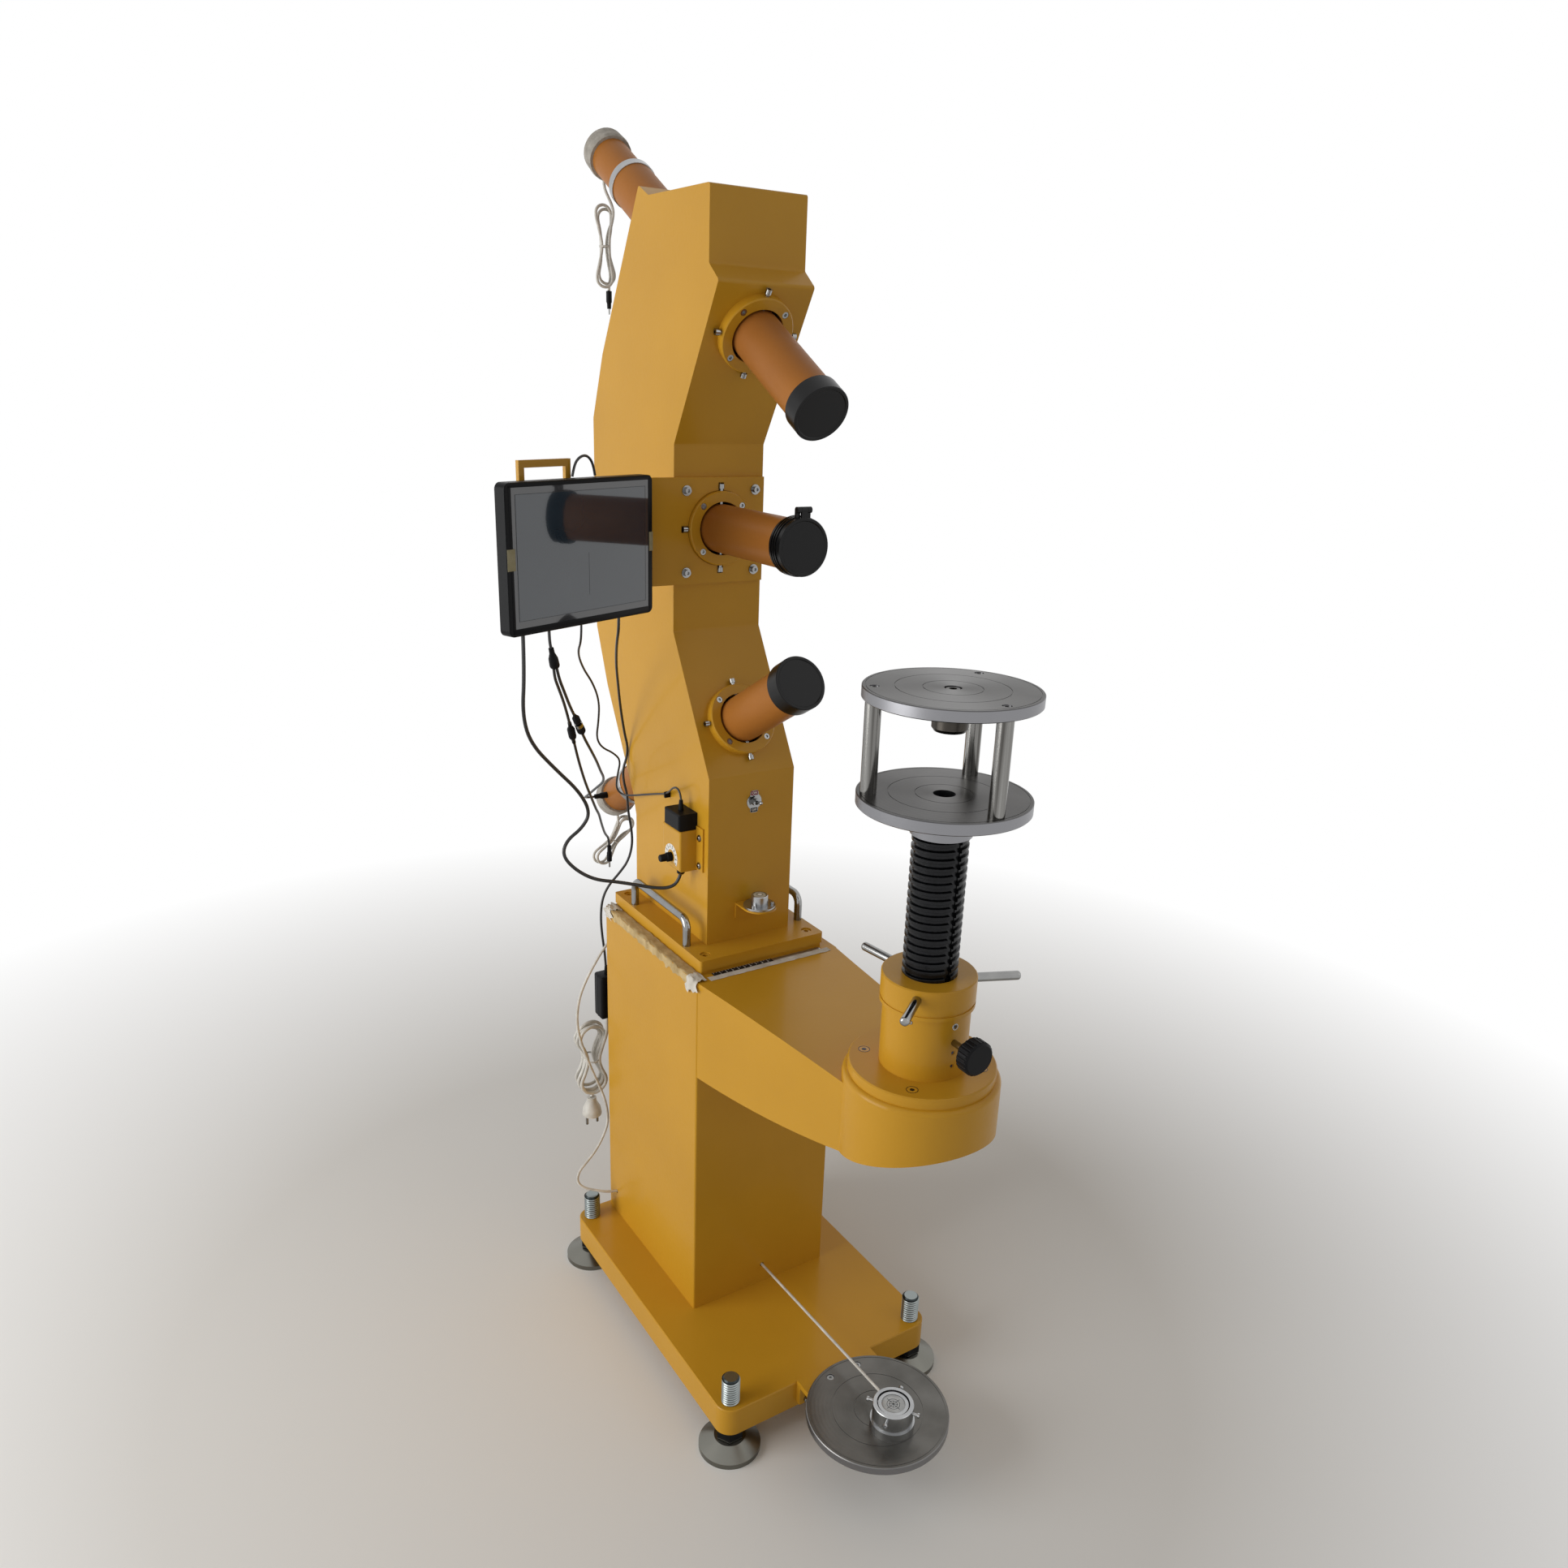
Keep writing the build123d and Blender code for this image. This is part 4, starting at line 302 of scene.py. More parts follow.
def vinyl_sheath(name, tone, shade):
    """Extruded PVC sheath: soft sheen, with slight waves from being coiled."""
    return plain_finish(
        name, (0.015, shade, tone), (0.003, 0.00008), Roughness=0.42, Coat_Weight=0.15, Coat_Roughness=0.3)


def crepe_tape(name, tone, shade):
    """Crepe-paper masking tape: dull, and creased across its length."""
    return plain_finish(
        name, (0.018, shade, tone, 0.45), (0.0035, 0.0007, (1.0, 4.0, 1.0), 4.0), Roughness=0.75,
        Specular_IOR_Level=0.25)


def plain_print(name, tone, roughness=0.5):
    """Screen-printed ink or film: flat colour with a trace of tooth."""
    return plain_finish(
        name, None, (0.0006, 0.00002), Base_Color=linear(tone), Roughness=roughness, Specular_IOR_Level=0.2)


def zoned_screws(name, enamel, low, high):
    """Bright screws, and between two heights, in metres, screws that are painted over with the frame."""
    material, tree, shader = new_material(name, Roughness=0.24)
    height = part_of(tree, object_place(tree), "Z")
    painted = worked(
        tree, "MULTIPLY", worked(tree, "GREATER_THAN", height, low), worked(tree, "LESS_THAN", height, high))
    tree.links.new(toned(tree, painted, (0.0, "#949493"), (1.0, enamel)), shader.inputs["Base Color"])
    tree.links.new(worked(tree, "SUBTRACT", 1.0, painted), shader.inputs["Metallic"])
    grain(tree, shader, 0.0012, 0.000015)
    return material


def banded_foot(name, pad_top, nut_top, stud_top):
    """Turned pad, blued lock nut, stud whose core is painted dark as the shade between its threads, and its bright end,
    by height.
    """
    material, tree, shader = new_material(name, Metallic=1.0, Roughness=0.30)
    # The stud's core between the nut and its end is painted dark, #34393A, so the roots between the added thread's
    # ridges show painted shade.
    bands = toned(
        tree, part_of(tree, object_place(tree), "Z"), (0.0, "#77766F"), (pad_top, "#2A2B2D"), (nut_top, "#34393A"),
        (stud_top, "#8C9291"), steps=True)
    tree.links.new(bands, shader.inputs["Base Color"])
    grain(tree, shader, 0.0009, 0.00003, (1.0, 1.0, 6.0))
    return material


def make_finishes(tones):
    """Every finish of the stand, by name."""
    return {
        "enamel": gloss_enamel("ochre_gloss_enamel", tones.enamel, "#C08E23", 0.34, 0.12),
        "tube_paint": gloss_enamel("ochre_satin_enamel", tones.tube, "#99602A", 0.45, 0.02),
        # The faced discs get dark tops and lighter rims from faced_steel: painted light by facing.
        "faced": faced_steel("faced_stainless", placed((0, 0, 0)), "#33312F", "#474543"),
        "floor_disc": faced_steel("faced_stainless_floor", placed((0, 0.033, 0)), "#575551", "#6C6A66"),
        # The posts' long dark and bright streaks, #4B4946 to #A3A29F, are painted reflection of the bands a polished
        # bar mirrors; their fine bump grain is the real grinding.
        "post": plain_finish(
            "ground_stainless_bar_painted_streaks", (0.007, "#4B4946", "#A3A29F", 0.5, (1.0, 1.0, 0.012)),
            (0.0012, 0.000015, (8.0, 8.0, 1.0)), Metallic=1.0, Roughness=0.16),
        "chrome": polished_steel("bright_chrome_plate", "#8E8E8D", "#9C9C9A", 0.11),
        "aluminium": polished_steel("turned_aluminium", "#A4A5A6", "#B4B5B5", 0.28, (1.0, 1.0, 6.0)),
        "oxide": plain_finish(
            "oiled_black_oxide", (0.004, "#08090B", "#141519", 0.55), (0.0016, 0.00018), Metallic=0.4,
            Roughness=0.22, Specular_IOR_Level=0.35),
        "cap": moulded_black("moulded_black_cap", "#0B0B0C", 0.30),
        # Real black on the knobs and moulded fittings; on the rear barrels' slot sheets it is painted shade.
        "knob": moulded_black("moulded_black_knob_and_slot_shade", "#0D0D0F", 0.45, 0.12),
        "bezel": moulded_black("moulded_black_bezel", "#0B0C0E", 0.40, 0.10),
        "keys": moulded_black("moulded_rubber_keys", "#141414", 0.7),
        "black_sheath": vinyl_sheath("black_vinyl_sheath", "#0F0F11", "#0A0A0B"),
        "white_sheath": vinyl_sheath("white_vinyl_sheath", "#D8D6CF", "#B9B6AE"),
        "beige_tape": crepe_tape("beige_masking_tape", "#C9B182", "#A0875A"),
        "white_tape": crepe_tape("white_paper_tape", "#D9D5CC", "#B9B2A4"),
        "tab_tape": crepe_tape("aged_tape_tab", "#9B957A", "#85805F"),
        "white_print": plain_print("white_print", "#E6E4DE"),
        "black_print": plain_print("black_print", "#121212"),
        "red_print": plain_print("red_print", "#7C1830", 0.35),
        "reticle_ink": plain_print("reticle_ink", "#2E3740"),
        "film": plain_print("protective_film_edge", "#30353B", 0.3),
        "foot": banded_foot("turned_foot_pads", 0.0222, 0.0379, 0.1227),
        # Real dark on the collar screws; on the stand's sockets and bolt gaps this dark is painted shade.
        "dark_screw": polished_steel("blackened_screws_and_socket_shade", "#38383A", "#444445", 0.35),
        "zinc": polished_steel("zinc_plated_thread", "#858B8A", "#989D9C", 0.30),
        "dark_knob": polished_steel("browned_steel_knob", "#3E3B37", "#4B4742", 0.32),
        "screws": zoned_screws("screws_painted_low", tones.enamel, 0.655, 0.725),
        "screen": plain_finish(
            "glossy_panel_border", (0.09, "#34363A", "#3B3D42"), Roughness=0.07, Coat_Weight=1.0,
            Coat_Roughness=0.02),
        "window": plain_finish(
            "glossy_lcd_window", (0.09, "#25303B", "#2B3743"), Roughness=0.07, Coat_Weight=1.0,
            Coat_Roughness=0.02),
        "lens": plain_finish(
            "coated_objective_glass", (0.03, "#18222A", "#233038"), Roughness=0.03, Coat_Weight=1.0,
            Transmission_Weight=0.35),
        "vial": plain_finish(
            "level_vial_glass", (0.006, "#A9AFA6", "#C3C8C0"), Roughness=0.05, Coat_Weight=1.0,
            Coat_Roughness=0.02),
        "reticle": plain_finish(
            "frosted_reticle_glass", (0.01, "#B2B7BA", "#C2C7C9"), Roughness=0.35, Coat_Weight=0.6),
        "foam": plain_finish(
            "foam_wrap", (0.012, "#8F8A81", "#AFAAA1"), (0.004, 0.0012), Roughness=0.85, Sheen_Weight=0.3),
    }


# ---- Shapes


def between(start, end):
    """The place with Z along the way from one point to another."""
    start, end = Vector(start), Vector(end)
    return Matrix.Translation(start) @ (end - start).to_track_quat("Z", "Y").to_matrix().to_4x4()


def collimator(name):
    """The place of a collimator: where the axes meet, with Z along the tube to the back."""
    tilt = math.radians(fan[name])
    along = Vector((0.0, math.cos(tilt), math.sin(tilt)))
    across = Vector((1.0, 0.0, 0.0))
    turn = Matrix((across, along.cross(across), along)).transposed().to_4x4()
    return at(axes_meet) @ turn


def spun(points, place=Matrix(), steps=72, turns=1.0, climb=0.0):
    """A surface of revolution, or a screw surface, from (radius, height) points."""
    shape = bmesh.new()
    verts = [shape.verts.new((radius, 0.0, height)) for radius, height in points]
    edges = [shape.edges.new(pair) for pair in zip(verts, verts[1:])]
    count = round(steps * turns)
    bmesh.ops.spin(
        shape, geom=verts + edges, cent=(0, 0, 0), axis=(0, 0, 1), dvec=(0, 0, climb * turns / count),
        angle=math.tau * turns, steps=count, use_merge=(climb == 0.0 and turns == 1.0), use_duplicate=False,
    )
    bmesh.ops.remove_doubles(shape, verts=shape.verts, dist=1e-6)
    bmesh.ops.recalc_face_normals(shape, faces=shape.faces)
    shape.transform(place)
    return shape


def slab(low, high, edge=0.0, place=Matrix(), segments=2):
    """A box between two corners, with its edges rounded."""
    low, high = Vector(low), Vector(high)
    shape = bmesh.new()
    size = Matrix.Diagonal((*(high - low), 1.0))
    bmesh.ops.create_cube(shape, size=1.0, matrix=Matrix.Translation((low + high) / 2) @ size)
    if edge:
        bmesh.ops.bevel(
            shape, geom=shape.edges[:], offset=edge, segments=segments, profile=0.5, affect="EDGES", material=-1)
    shape.transform(place)
    return shape


def together(*shapes):
    """Several shapes in one mesh."""
    whole = bmesh.new()
    for shape in shapes:
        mesh = bpy.data.meshes.new("shape")
        shape.to_mesh(mesh)
        shape.free()
        whole.from_mesh(mesh)
        bpy.data.meshes.remove(mesh)
    return whole


def make_piece(name, shape, finish, body="base", replaces=(), smooth=35.0):
    """Turns a shape into an object that rides on a body, in its finish."""
    for face in shape.faces:
        face.smooth = True
    for edge in shape.edges:
        edge.smooth = edge.calc_face_angle(0.0) < math.radians(smooth)
    mesh = bpy.data.meshes.new(name)
    shape.to_mesh(mesh)
    shape.free()
    mesh.materials.append(finishes[finish])
    piece = bpy.data.objects.new(name, mesh)
    bpy.context.scene.collection.objects.link(piece)
    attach(piece, body)
    if replaces:
        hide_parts(*replaces)
    return piece


def lettering(name, words, finish):
    """Printed characters as one thin mesh, from (text, size, place) rows."""
    whole = bmesh.new()
    for text, size, place in words:
        letters = bpy.data.curves.new(name, "FONT")
        letters.body = text
        letters.size = size
        letters.extrude = 0.00005
        letters.offset = size * 0.02
        letters.align_x = "CENTER"
        letters.align_y = "CENTER"
        source = bpy.data.objects.new(name + "_text", letters)
        mesh = bpy.data.meshes.new_from_object(source)
        mesh.transform(place)
        whole.from_mesh(mesh)
        bpy.data.objects.remove(source)
        bpy.data.meshes.remove(mesh)
    return make_piece(name, whole, finish)


def facing(middle, right, up):
    """A place on a flat face, from its middle, its way to the right and its way up."""
    right, up = Vector(right), Vector(up)
    return at(middle) @ Matrix((right, up, right.cross(up))).transposed().to_4x4()


def turned(profile, start, end, steps=24):
    """A turned piece along the way between two points given from the stand's axis."""
    return spun(profile, between(placed(start), placed(end)), steps)


def cut_flat(shape, point, way, clear=False):
    """Cuts a shape by a plane, and clears what lies beyond it if asked."""
    bmesh.ops.bisect_plane(
        shape, geom=shape.verts[:] + shape.edges[:] + shape.faces[:], dist=1e-7,
        plane_co=point, plane_no=way, clear_outer=clear,
    )


def threaded(profile, x, y, low, high, pitch, steps):
    """An upright screw thread, cut flat at its two heights."""
    turns = math.ceil((high - low) / pitch) + 2
    shape = spun(profile, at((x, y, low - pitch)), steps=steps, turns=turns, climb=pitch)
    for height, side in ((low, -1), (high, 1)):
        cut_flat(shape, (0, 0, height), (0, 0, side), True)
    return shape


def draped(length, width, over, lift, ragged, creases, place, seed):
    """A strip of tape that lies on a ledge and hangs over its edge, with creases and a torn rim."""
    shape = bmesh.new()
    bmesh.ops.create_grid(shape, x_segments=12, y_segments=max(8, round(length / 0.003)), size=0.5)
    for vert in shape.verts:
        along = (vert.co.y + 0.5) * length
        share = vert.co.x + 0.5
        tear = mathutils.noise.noise(Vector((along * 90, seed, 0.0))) * ragged
        end = mathutils.noise.noise(Vector((share * 5, seed, 3.0))) * ragged * (1 if vert.co.y > 0 else -1)
        across = share * (width + tear)
        crease = mathutils.noise.noise(Vector((along * 45, across * 420, seed))) * creases
        if across <= over:
            vert.co = (across, along + end * abs(vert.co.y) * 2, lift + abs(crease))
        else:
            vert.co = (over + lift + abs(crease), along + end * abs(vert.co.y) * 2, over - across)
    bmesh.ops.recalc_face_normals(shape, faces=shape.faces)
    shape.transform(place)
    return shape


def wound(top, bottom, radius, waist, depth, steps, fans, start=0):
    """The route of a tied hank: long turns with round ends, drawn in where the tie is, side by side in depth."""
    top, bottom = Vector(top), Vector(bottom)
    up = (top - bottom).normalized()
    right = up.cross(Vector((0, 1, 0))) * -1.0
    route = []
    for step in range(start, start + steps):
        turn, spot = divmod(step, 16)
        fan, rise = fans[turn % len(fans)]
        if spot < 3 or 7 < spot < 11:
            share = (spot % 8 + 1) / 4
            side = 1.0 if spot < 3 else -1.0
            along = top.lerp(bottom, share if side > 0 else 1.0 - share)
            drawn = radius - (radius - waist) * math.sin(math.pi * share) ** 1.3
            point = along + right * (side * drawn + fan * abs(math.cos(math.pi * share)))
        else:
            angle = math.radians(45 * (spot - 3 if spot < 8 else spot - 11))
            centre, lean = (bottom, -1.0) if spot < 8 else (top, 1.0)
            sweep = math.cos(angle) if spot < 8 else -math.cos(angle)
            point = centre + right * (radius * sweep + fan) + up * lean * (radius * math.sin(angle) + rise)
        route.append((point.x, point.y - depth / 2 + depth * (step - start) / (steps - 1), point.z))
    return route


def make_lead(name, route, diameter, tone, node=None, body="base", fineness=8):
    """A lead as one smooth spline through its route, in place of its solid if it has one."""
    curve = bpy.data.curves.new(name, "CURVE")
    curve.dimensions = "3D"
    curve.bevel_depth = diameter / 2
    curve.bevel_resolution = 3
    curve.resolution_u = fineness
    curve.use_fill_caps = True
    spline = curve.splines.new("NURBS")
    spline.points.add(len(route) - 1)
    for target, point in zip(spline.points, route):
        target.co = (*placed(point), 1.0)
    spline.order_u = 3
    spline.use_endpoint_u = True
    curve.materials.append(finishes[tone + "_sheath"])
    piece = bpy.data.objects.new(name, curve)
    bpy.context.scene.collection.objects.link(piece)
    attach(piece, body)
    if node:
        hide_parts(node)
    spline_length(piece)


def spline_length(piece):
    """The length of a lead's own line, in metres."""
    bare = piece.data.copy()
    bare.bevel_depth = 0.0
    probe = bpy.data.objects.new("probe", bare)
    mesh = bpy.data.meshes.new_from_object(probe)
    points = [vert.co for vert in mesh.vertices]
    length = sum((b - a).length for a, b in zip(points, points[1:]))
    bpy.data.objects.remove(probe)
    bpy.data.meshes.remove(mesh)
    return length


# ---- Settings


class CollimatorTones(bpy.types.PropertyGroup):
    """Paint tones that a user would change."""
    enamel: bpy.props.StringProperty(name="Enamel", description="Hex colour of the gloss enamel", default="#C89527")
    tube: bpy.props.StringProperty(name="Tube paint", description="Hex colour of the satin tubes", default="#A96C2B")


class CollimatorSizes(bpy.types.PropertyGroup):
    """Sizes of the added detail that a user would change."""
    pitch: bpy.props.FloatProperty(
        name="Screw pitch", description="Pitch of the elevating screw", default=0.010, min=0.002, unit="LENGTH")
    thread_depth: bpy.props.FloatProperty(
        name="Thread depth", description="Depth of the elevating screw's thread", default=0.0032, min=0.0,
        unit="LENGTH")
    stud_pitch: bpy.props.FloatProperty(
        name="Stud pitch", description="Pitch of the levelling studs", default=0.004, min=0.001, unit="LENGTH")
    dial_radius: bpy.props.FloatProperty(
        name="Dial radius", description="Outer radius of the dimmer's printed dial", default=0.0192, unit="LENGTH")
    tape_lift: bpy.props.FloatProperty(
        name="Tape thickness", description="How far the tapes stand off the paint", default=0.0004, unit="LENGTH")


class StageSettings(bpy.types.PropertyGroup):
    """Light and floor of the stage."""
    key_power: bpy.props.FloatProperty(
        name="Key light", description="Power of the soft key light", default=63.0, unit="POWER")
    sky: bpy.props.FloatProperty(name="Sky", description="Strength of the even light", default=0.35)
    floor: bpy.props.StringProperty(name="Floor", description="Hex colour of the floor", default="#E9E9E7")


# ---- Operators


class COLLIMATOR_OT_camera(bpy.types.Operator):
    """Adds the camera at the photograph's place"""
    bl_idname = "collimator.camera"
    bl_label = "Camera"

    def execute(self, context):
        yaw, pitch, roll = 0.5845, 0.3466, 0.0380
        focal_length, centre_x, centre_y = 1501.07, 971.48, 1011.29
        ahead = Vector((math.sin(yaw) * math.cos(pitch), math.cos(yaw) * math.cos(pitch), -math.sin(pitch)))
        level = Vector((math.cos(yaw), -math.sin(yaw), 0.0))
        upward = level.cross(ahead)
        right = level * math.cos(roll) + upward * math.sin(roll)
        up = upward * math.cos(roll) - level * math.sin(roll)
        data = bpy.data.cameras.new("camera")
        data.sensor_width = 36.0
        data.lens = focal_length * data.sensor_width / photo_pixels
        data.shift_x = (photo_pixels / 2 - centre_x) / photo_pixels
        data.shift_y = (centre_y - photo_pixels / 2) / photo_pixels
        data.clip_end = 60.0
        camera = bpy.data.objects.new("camera", data)
        turn = Matrix((right, up, -ahead)).transposed().to_4x4()
        camera.matrix_world = at((-0.86912, -0.99590, 1.45825)) @ turn
        context.scene.collection.objects.link(camera)
        context.scene.camera = camera
        return {"FINISHED"}


class COLLIMATOR_OT_leads(bpy.types.Operator):
    """Adds the black and white leads as smooth splines"""
    bl_idname = "collimator.leads"
    bl_label = "Leads"

    def execute(self, context):
        for node, route, diameter, tone, stiffness, lay in (
            ("power_lead", power_route, 0.005, "black", "medium", "hanging"),
            ("video_branch_left", left_branch_route, 0.004, "black", "medium", "hanging"),
            ("video_branch_right", right_branch_route, 0.004, "black", "medium", "hanging"),
            ("adapter_lead", adapter_route, 0.003, "black", "limp", "hanging"),
            ("brick_lead", brick_route, 0.004, "black", "medium", "hanging"),
            ("feed_lead", feed_route, 0.0045, "white", "limp", "hanging"),
            ("target_lead", target_route, 0.004, "white", "medium", "taut"),
        ):
            make_lead(node + "_line", route, diameter, tone, node)
        return {"FINISHED"}


class COLLIMATOR_OT_cad_finishes(bpy.types.Operator):
    """Gives every carried-over CAD node its finish"""
    bl_idname = "collimator.cad_finishes"
    bl_label = "Finishes of the solids"

    def execute(self, context):
        by_finish = {
            "enamel": (
                "base_plate", "pedestal", "column_flange", "column_shell", "stand_housing", "mounting_plate",
                "target_bracket", "level_bracket", "monitor_bracket", "control_box", "elevating_nut", "mount_rings"),
            "tube_paint": ("top_tube", "middle_tube", "bottom_tube", "rear_barrels"),
            "faced": ("lower_disc", "upper_disc"),
            "floor_disc": ("target_disc",),
            "post": ("stage_posts",),
            "chrome": ("lift_handles", "nut_levers", "toggle_lever", "toggle_switch", "adjusting_screws"),
            "screws": ("frame_screws",),
            "aluminium": ("round_level", "target_holder", "target_cell"),
            "oxide": ("threaded_column",),
            "dark_knob": ("centring_screw",),
            "cap": ("top_lens_cap", "bottom_lens_cap", "flip_cap_ring", "flip_cap_lid"),
            "knob": ("clamp_knob", "dimmer_knob", "adapter", "cord_fittings"),
            "bezel": ("monitor_housing",),
            "keys": ("monitor_keys",),
            "screen": ("monitor_screen",),
            "lens": ("objective_lenses",),
            "vial": ("level_glass",),
            "foam": ("end_wraps",),
            "foot": ("foot_front_left", "foot_front_right", "foot_rear_left", "foot_rear_right"),
            "white_sheath": ("top_hank", "lower_hank", "mains_coil"),
        }
        for finish, names in by_finish.items():
            for name in names:
                solid = frame["nodes"][name]
                solid.data.materials.clear()
                solid.data.materials.append(finishes[finish])
        return {"FINISHED"}


class COLLIMATOR_OT_elevating_screw(bpy.types.Operator):
    """Adds the elevating screw with its thread, bore and keyway"""
    bl_idname = "collimator.elevating_screw"
    bl_label = "Elevating screw"

    def execute(self, context):
        sizes = context.scene.collimator_sizes
        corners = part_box("threaded_column")
        low, high = corners[0][2], corners[1][2]
        crest = (corners[1][0] - corners[0][0]) / 2
        root = crest - sizes.thread_depth
        pitch = sizes.pitch
        bore, blunt = 0.013, 0.0003
        shape = threaded([
            (root, 0.0), (root, pitch * 0.36), (crest - blunt, pitch * 0.47), (crest, pitch * 0.50),
            (crest, pitch * 0.84), (crest - blunt, pitch * 0.88), (root, pitch),
        ], 0.0, 0.0, low, high, pitch, 56)
        keyway(shape, 0.0045, crest, crest - 0.0046, low, high)
        inner = spun([(bore, low), (bore, high)], at((0, 0, 0)), steps=48)
        bmesh.ops.reverse_faces(inner, faces=inner.faces)
        ends = together(*(spun([(bore, z), (root, z)], at((0, 0, 0)), steps=48) for z in (low, high)))
        whole = together(shape, inner, ends)
        make_piece("elevating_thread", whole, "oxide", "stand_column", replaces=["threaded_column"], smooth=25.0)
        return {"FINISHED"}


def keyway(shape, half, crest, floor, low, high):
    """Cuts a slot along the front of an upright screw."""
    axis = placed((0, 0, 0))
    for side in (-1, 1):
        cut_flat(shape, (axis.x + side * half, 0, 0), (1, 0, 0))
    inside = [
        face for face in shape.faces
        if abs(face.calc_center_median().x - axis.x) < half and face.calc_center_median().y < axis.y
    ]
    bmesh.ops.delete(shape, geom=inside, context="FACES")
    rims = [
        edge for edge in shape.edges
        if edge.is_boundary and all(abs(abs(v.co.x - axis.x) - half) < 1e-5 and v.co.y < axis.y for v in edge.verts)
    ]
    walls = bmesh.ops.extrude_edge_only(shape, edges=rims)["geom"]
    for vert in [item for item in walls if isinstance(item, bmesh.types.BMVert)]:
        vert.co.y = axis.y - floor
    corners = [
        shape.verts.new((axis.x + side * half, axis.y - floor, height))
        for side, height in ((-1, low), (1, low), (1, high), (-1, high))
    ]
    bmesh.ops.contextual_create(shape, geom=corners)


class COLLIMATOR_OT_hanks(bpy.types.Operator):
    """Adds the two tied hanks and the coil of the mains lead, wound turn by turn"""
    bl_idname = "collimator.hanks"
    bl_label = "Hanks and coil"

    def execute(self, context):
        for node, route, diameter, lay, far_end in (
            ("top_hank", [
                (0.0, 0.888, 1.7322), (0.0, 0.888, 1.723), (0.004, 0.8855, 1.712), (0.010, 0.8832, 1.7),
                (0.0133, 0.8822, 1.687),
                *wound((0.0, 0.888, 1.6843), (0.0, 0.888, 1.5975), 0.0138, 0.0046, 0.0118, 35,
                       ((-0.0025, 0.001), (0.0035, -0.004), (0.0, 0.0))),
                (0.0118, 0.8932, 1.6), (0.0088, 0.8915, 1.5905), (0.0065, 0.889, 1.585), (0.006, 0.888, 1.579),
            ], 0.0045, "hanging", "plug"),
            ("lower_hank", [
                (-0.008, 0.85, 0.7288), (-0.008, 0.8487, 0.7235), (-0.0085, 0.8465, 0.7165), (-0.012, 0.8447, 0.709),
                *wound((0.0078, 0.85, 0.710), (-0.0397, 0.85, 0.6556), 0.0137, 0.0050, 0.0118, 38,
                       ((-0.001, 0.0), (0.0025, -0.003), (-0.002, -0.001)), 8),
            ], 0.0045, "hanging", "bare"),
            ("mains_coil", [
                (-0.11, 0.684, 0.4398), (-0.11, 0.6845, 0.43), (-0.1098, 0.6852, 0.417), (-0.11, 0.6858, 0.404),
                *wound((-0.134, 0.7, 0.398), (-0.134, 0.7, 0.316), 0.0242, 0.0085, 0.0275, 67,
                       ((0.0, 0.0), (-0.003, -0.004), (0.002, 0.002), (-0.001, -0.006), (0.0, 0.0))),
                (-0.1105, 0.7138, 0.318), (-0.1118, 0.7132, 0.304), (-0.1175, 0.711, 0.293), (-0.1255, 0.7065, 0.2862),
                (-0.1325, 0.7015, 0.284), (-0.134, 0.7, 0.279),
            ], 0.006, "coiled", "plug"),
        ):
            make_lead(node + "_turns", route, diameter, "white", node)
        return {"FINISHED"}


class COLLIMATOR_OT_rear_bands(bpy.types.Operator):
    """Adds the bare metal bands at the joints of the rear barrels, and dark sheets inside their slots as painted shade
    """
    bl_idname = "collimator.rear_bands"
    bl_label = "Rear bands"

    def execute(self, context):
        ring, width, radius, edge, gap = 0.905, 0.012, 0.0345, 0.0002, 0.0004
        bands, liners = [], []
        for name in fan:
            place = collimator(name)
            bands.append(spun([
                (0.0331, ring - edge), (radius - gap, ring - edge), (radius + edge, ring + gap),
                (radius + edge, ring + width - gap), (radius - gap, ring + width + edge),
                (0.0291, ring + width + edge),
            ], place))
            # Painted shade: a dark sheet in each slot stands for the shade inside it, since the slot floor itself is
            # tube colour.
            liners.append(spun([(0.0251, ring + width + 0.0016), (0.0251, ring + width + 0.0074)], place))
        make_piece("rear_bands", together(*bands), "aluminium")
        make_piece("slot_painted_shade", together(*liners), "knob")
        return {"FINISHED"}


class COLLIMATOR_OT_stud_threads(bpy.types.Operator):
    """Adds the thread that shows on each levelling stud above the base plate"""
    bl_idname = "collimator.stud_threads"
    bl_label = "Stud threads"

    def execute(self, context):
        pitch = context.scene.collimator_sizes.stud_pitch
        root, crest = 0.0118, 0.0133
        profile = [(root, pitch * 0.06), (crest, pitch * 0.42), (crest, pitch * 0.58), (root, pitch * 0.94)]
        for name, x, y in (
            ("front_left", -0.162, 0.166), ("front_right", 0.162, 0.166),
            ("rear_left", -0.162, 0.643), ("rear_right", 0.162, 0.643),
        ):
            shape = threaded(profile, x, y, 0.0826, 0.1226, pitch, 32)
            make_piece("stud_thread_" + name, shape, "zinc", "foot_" + name, smooth=25.0)
        return {"FINISHED"}


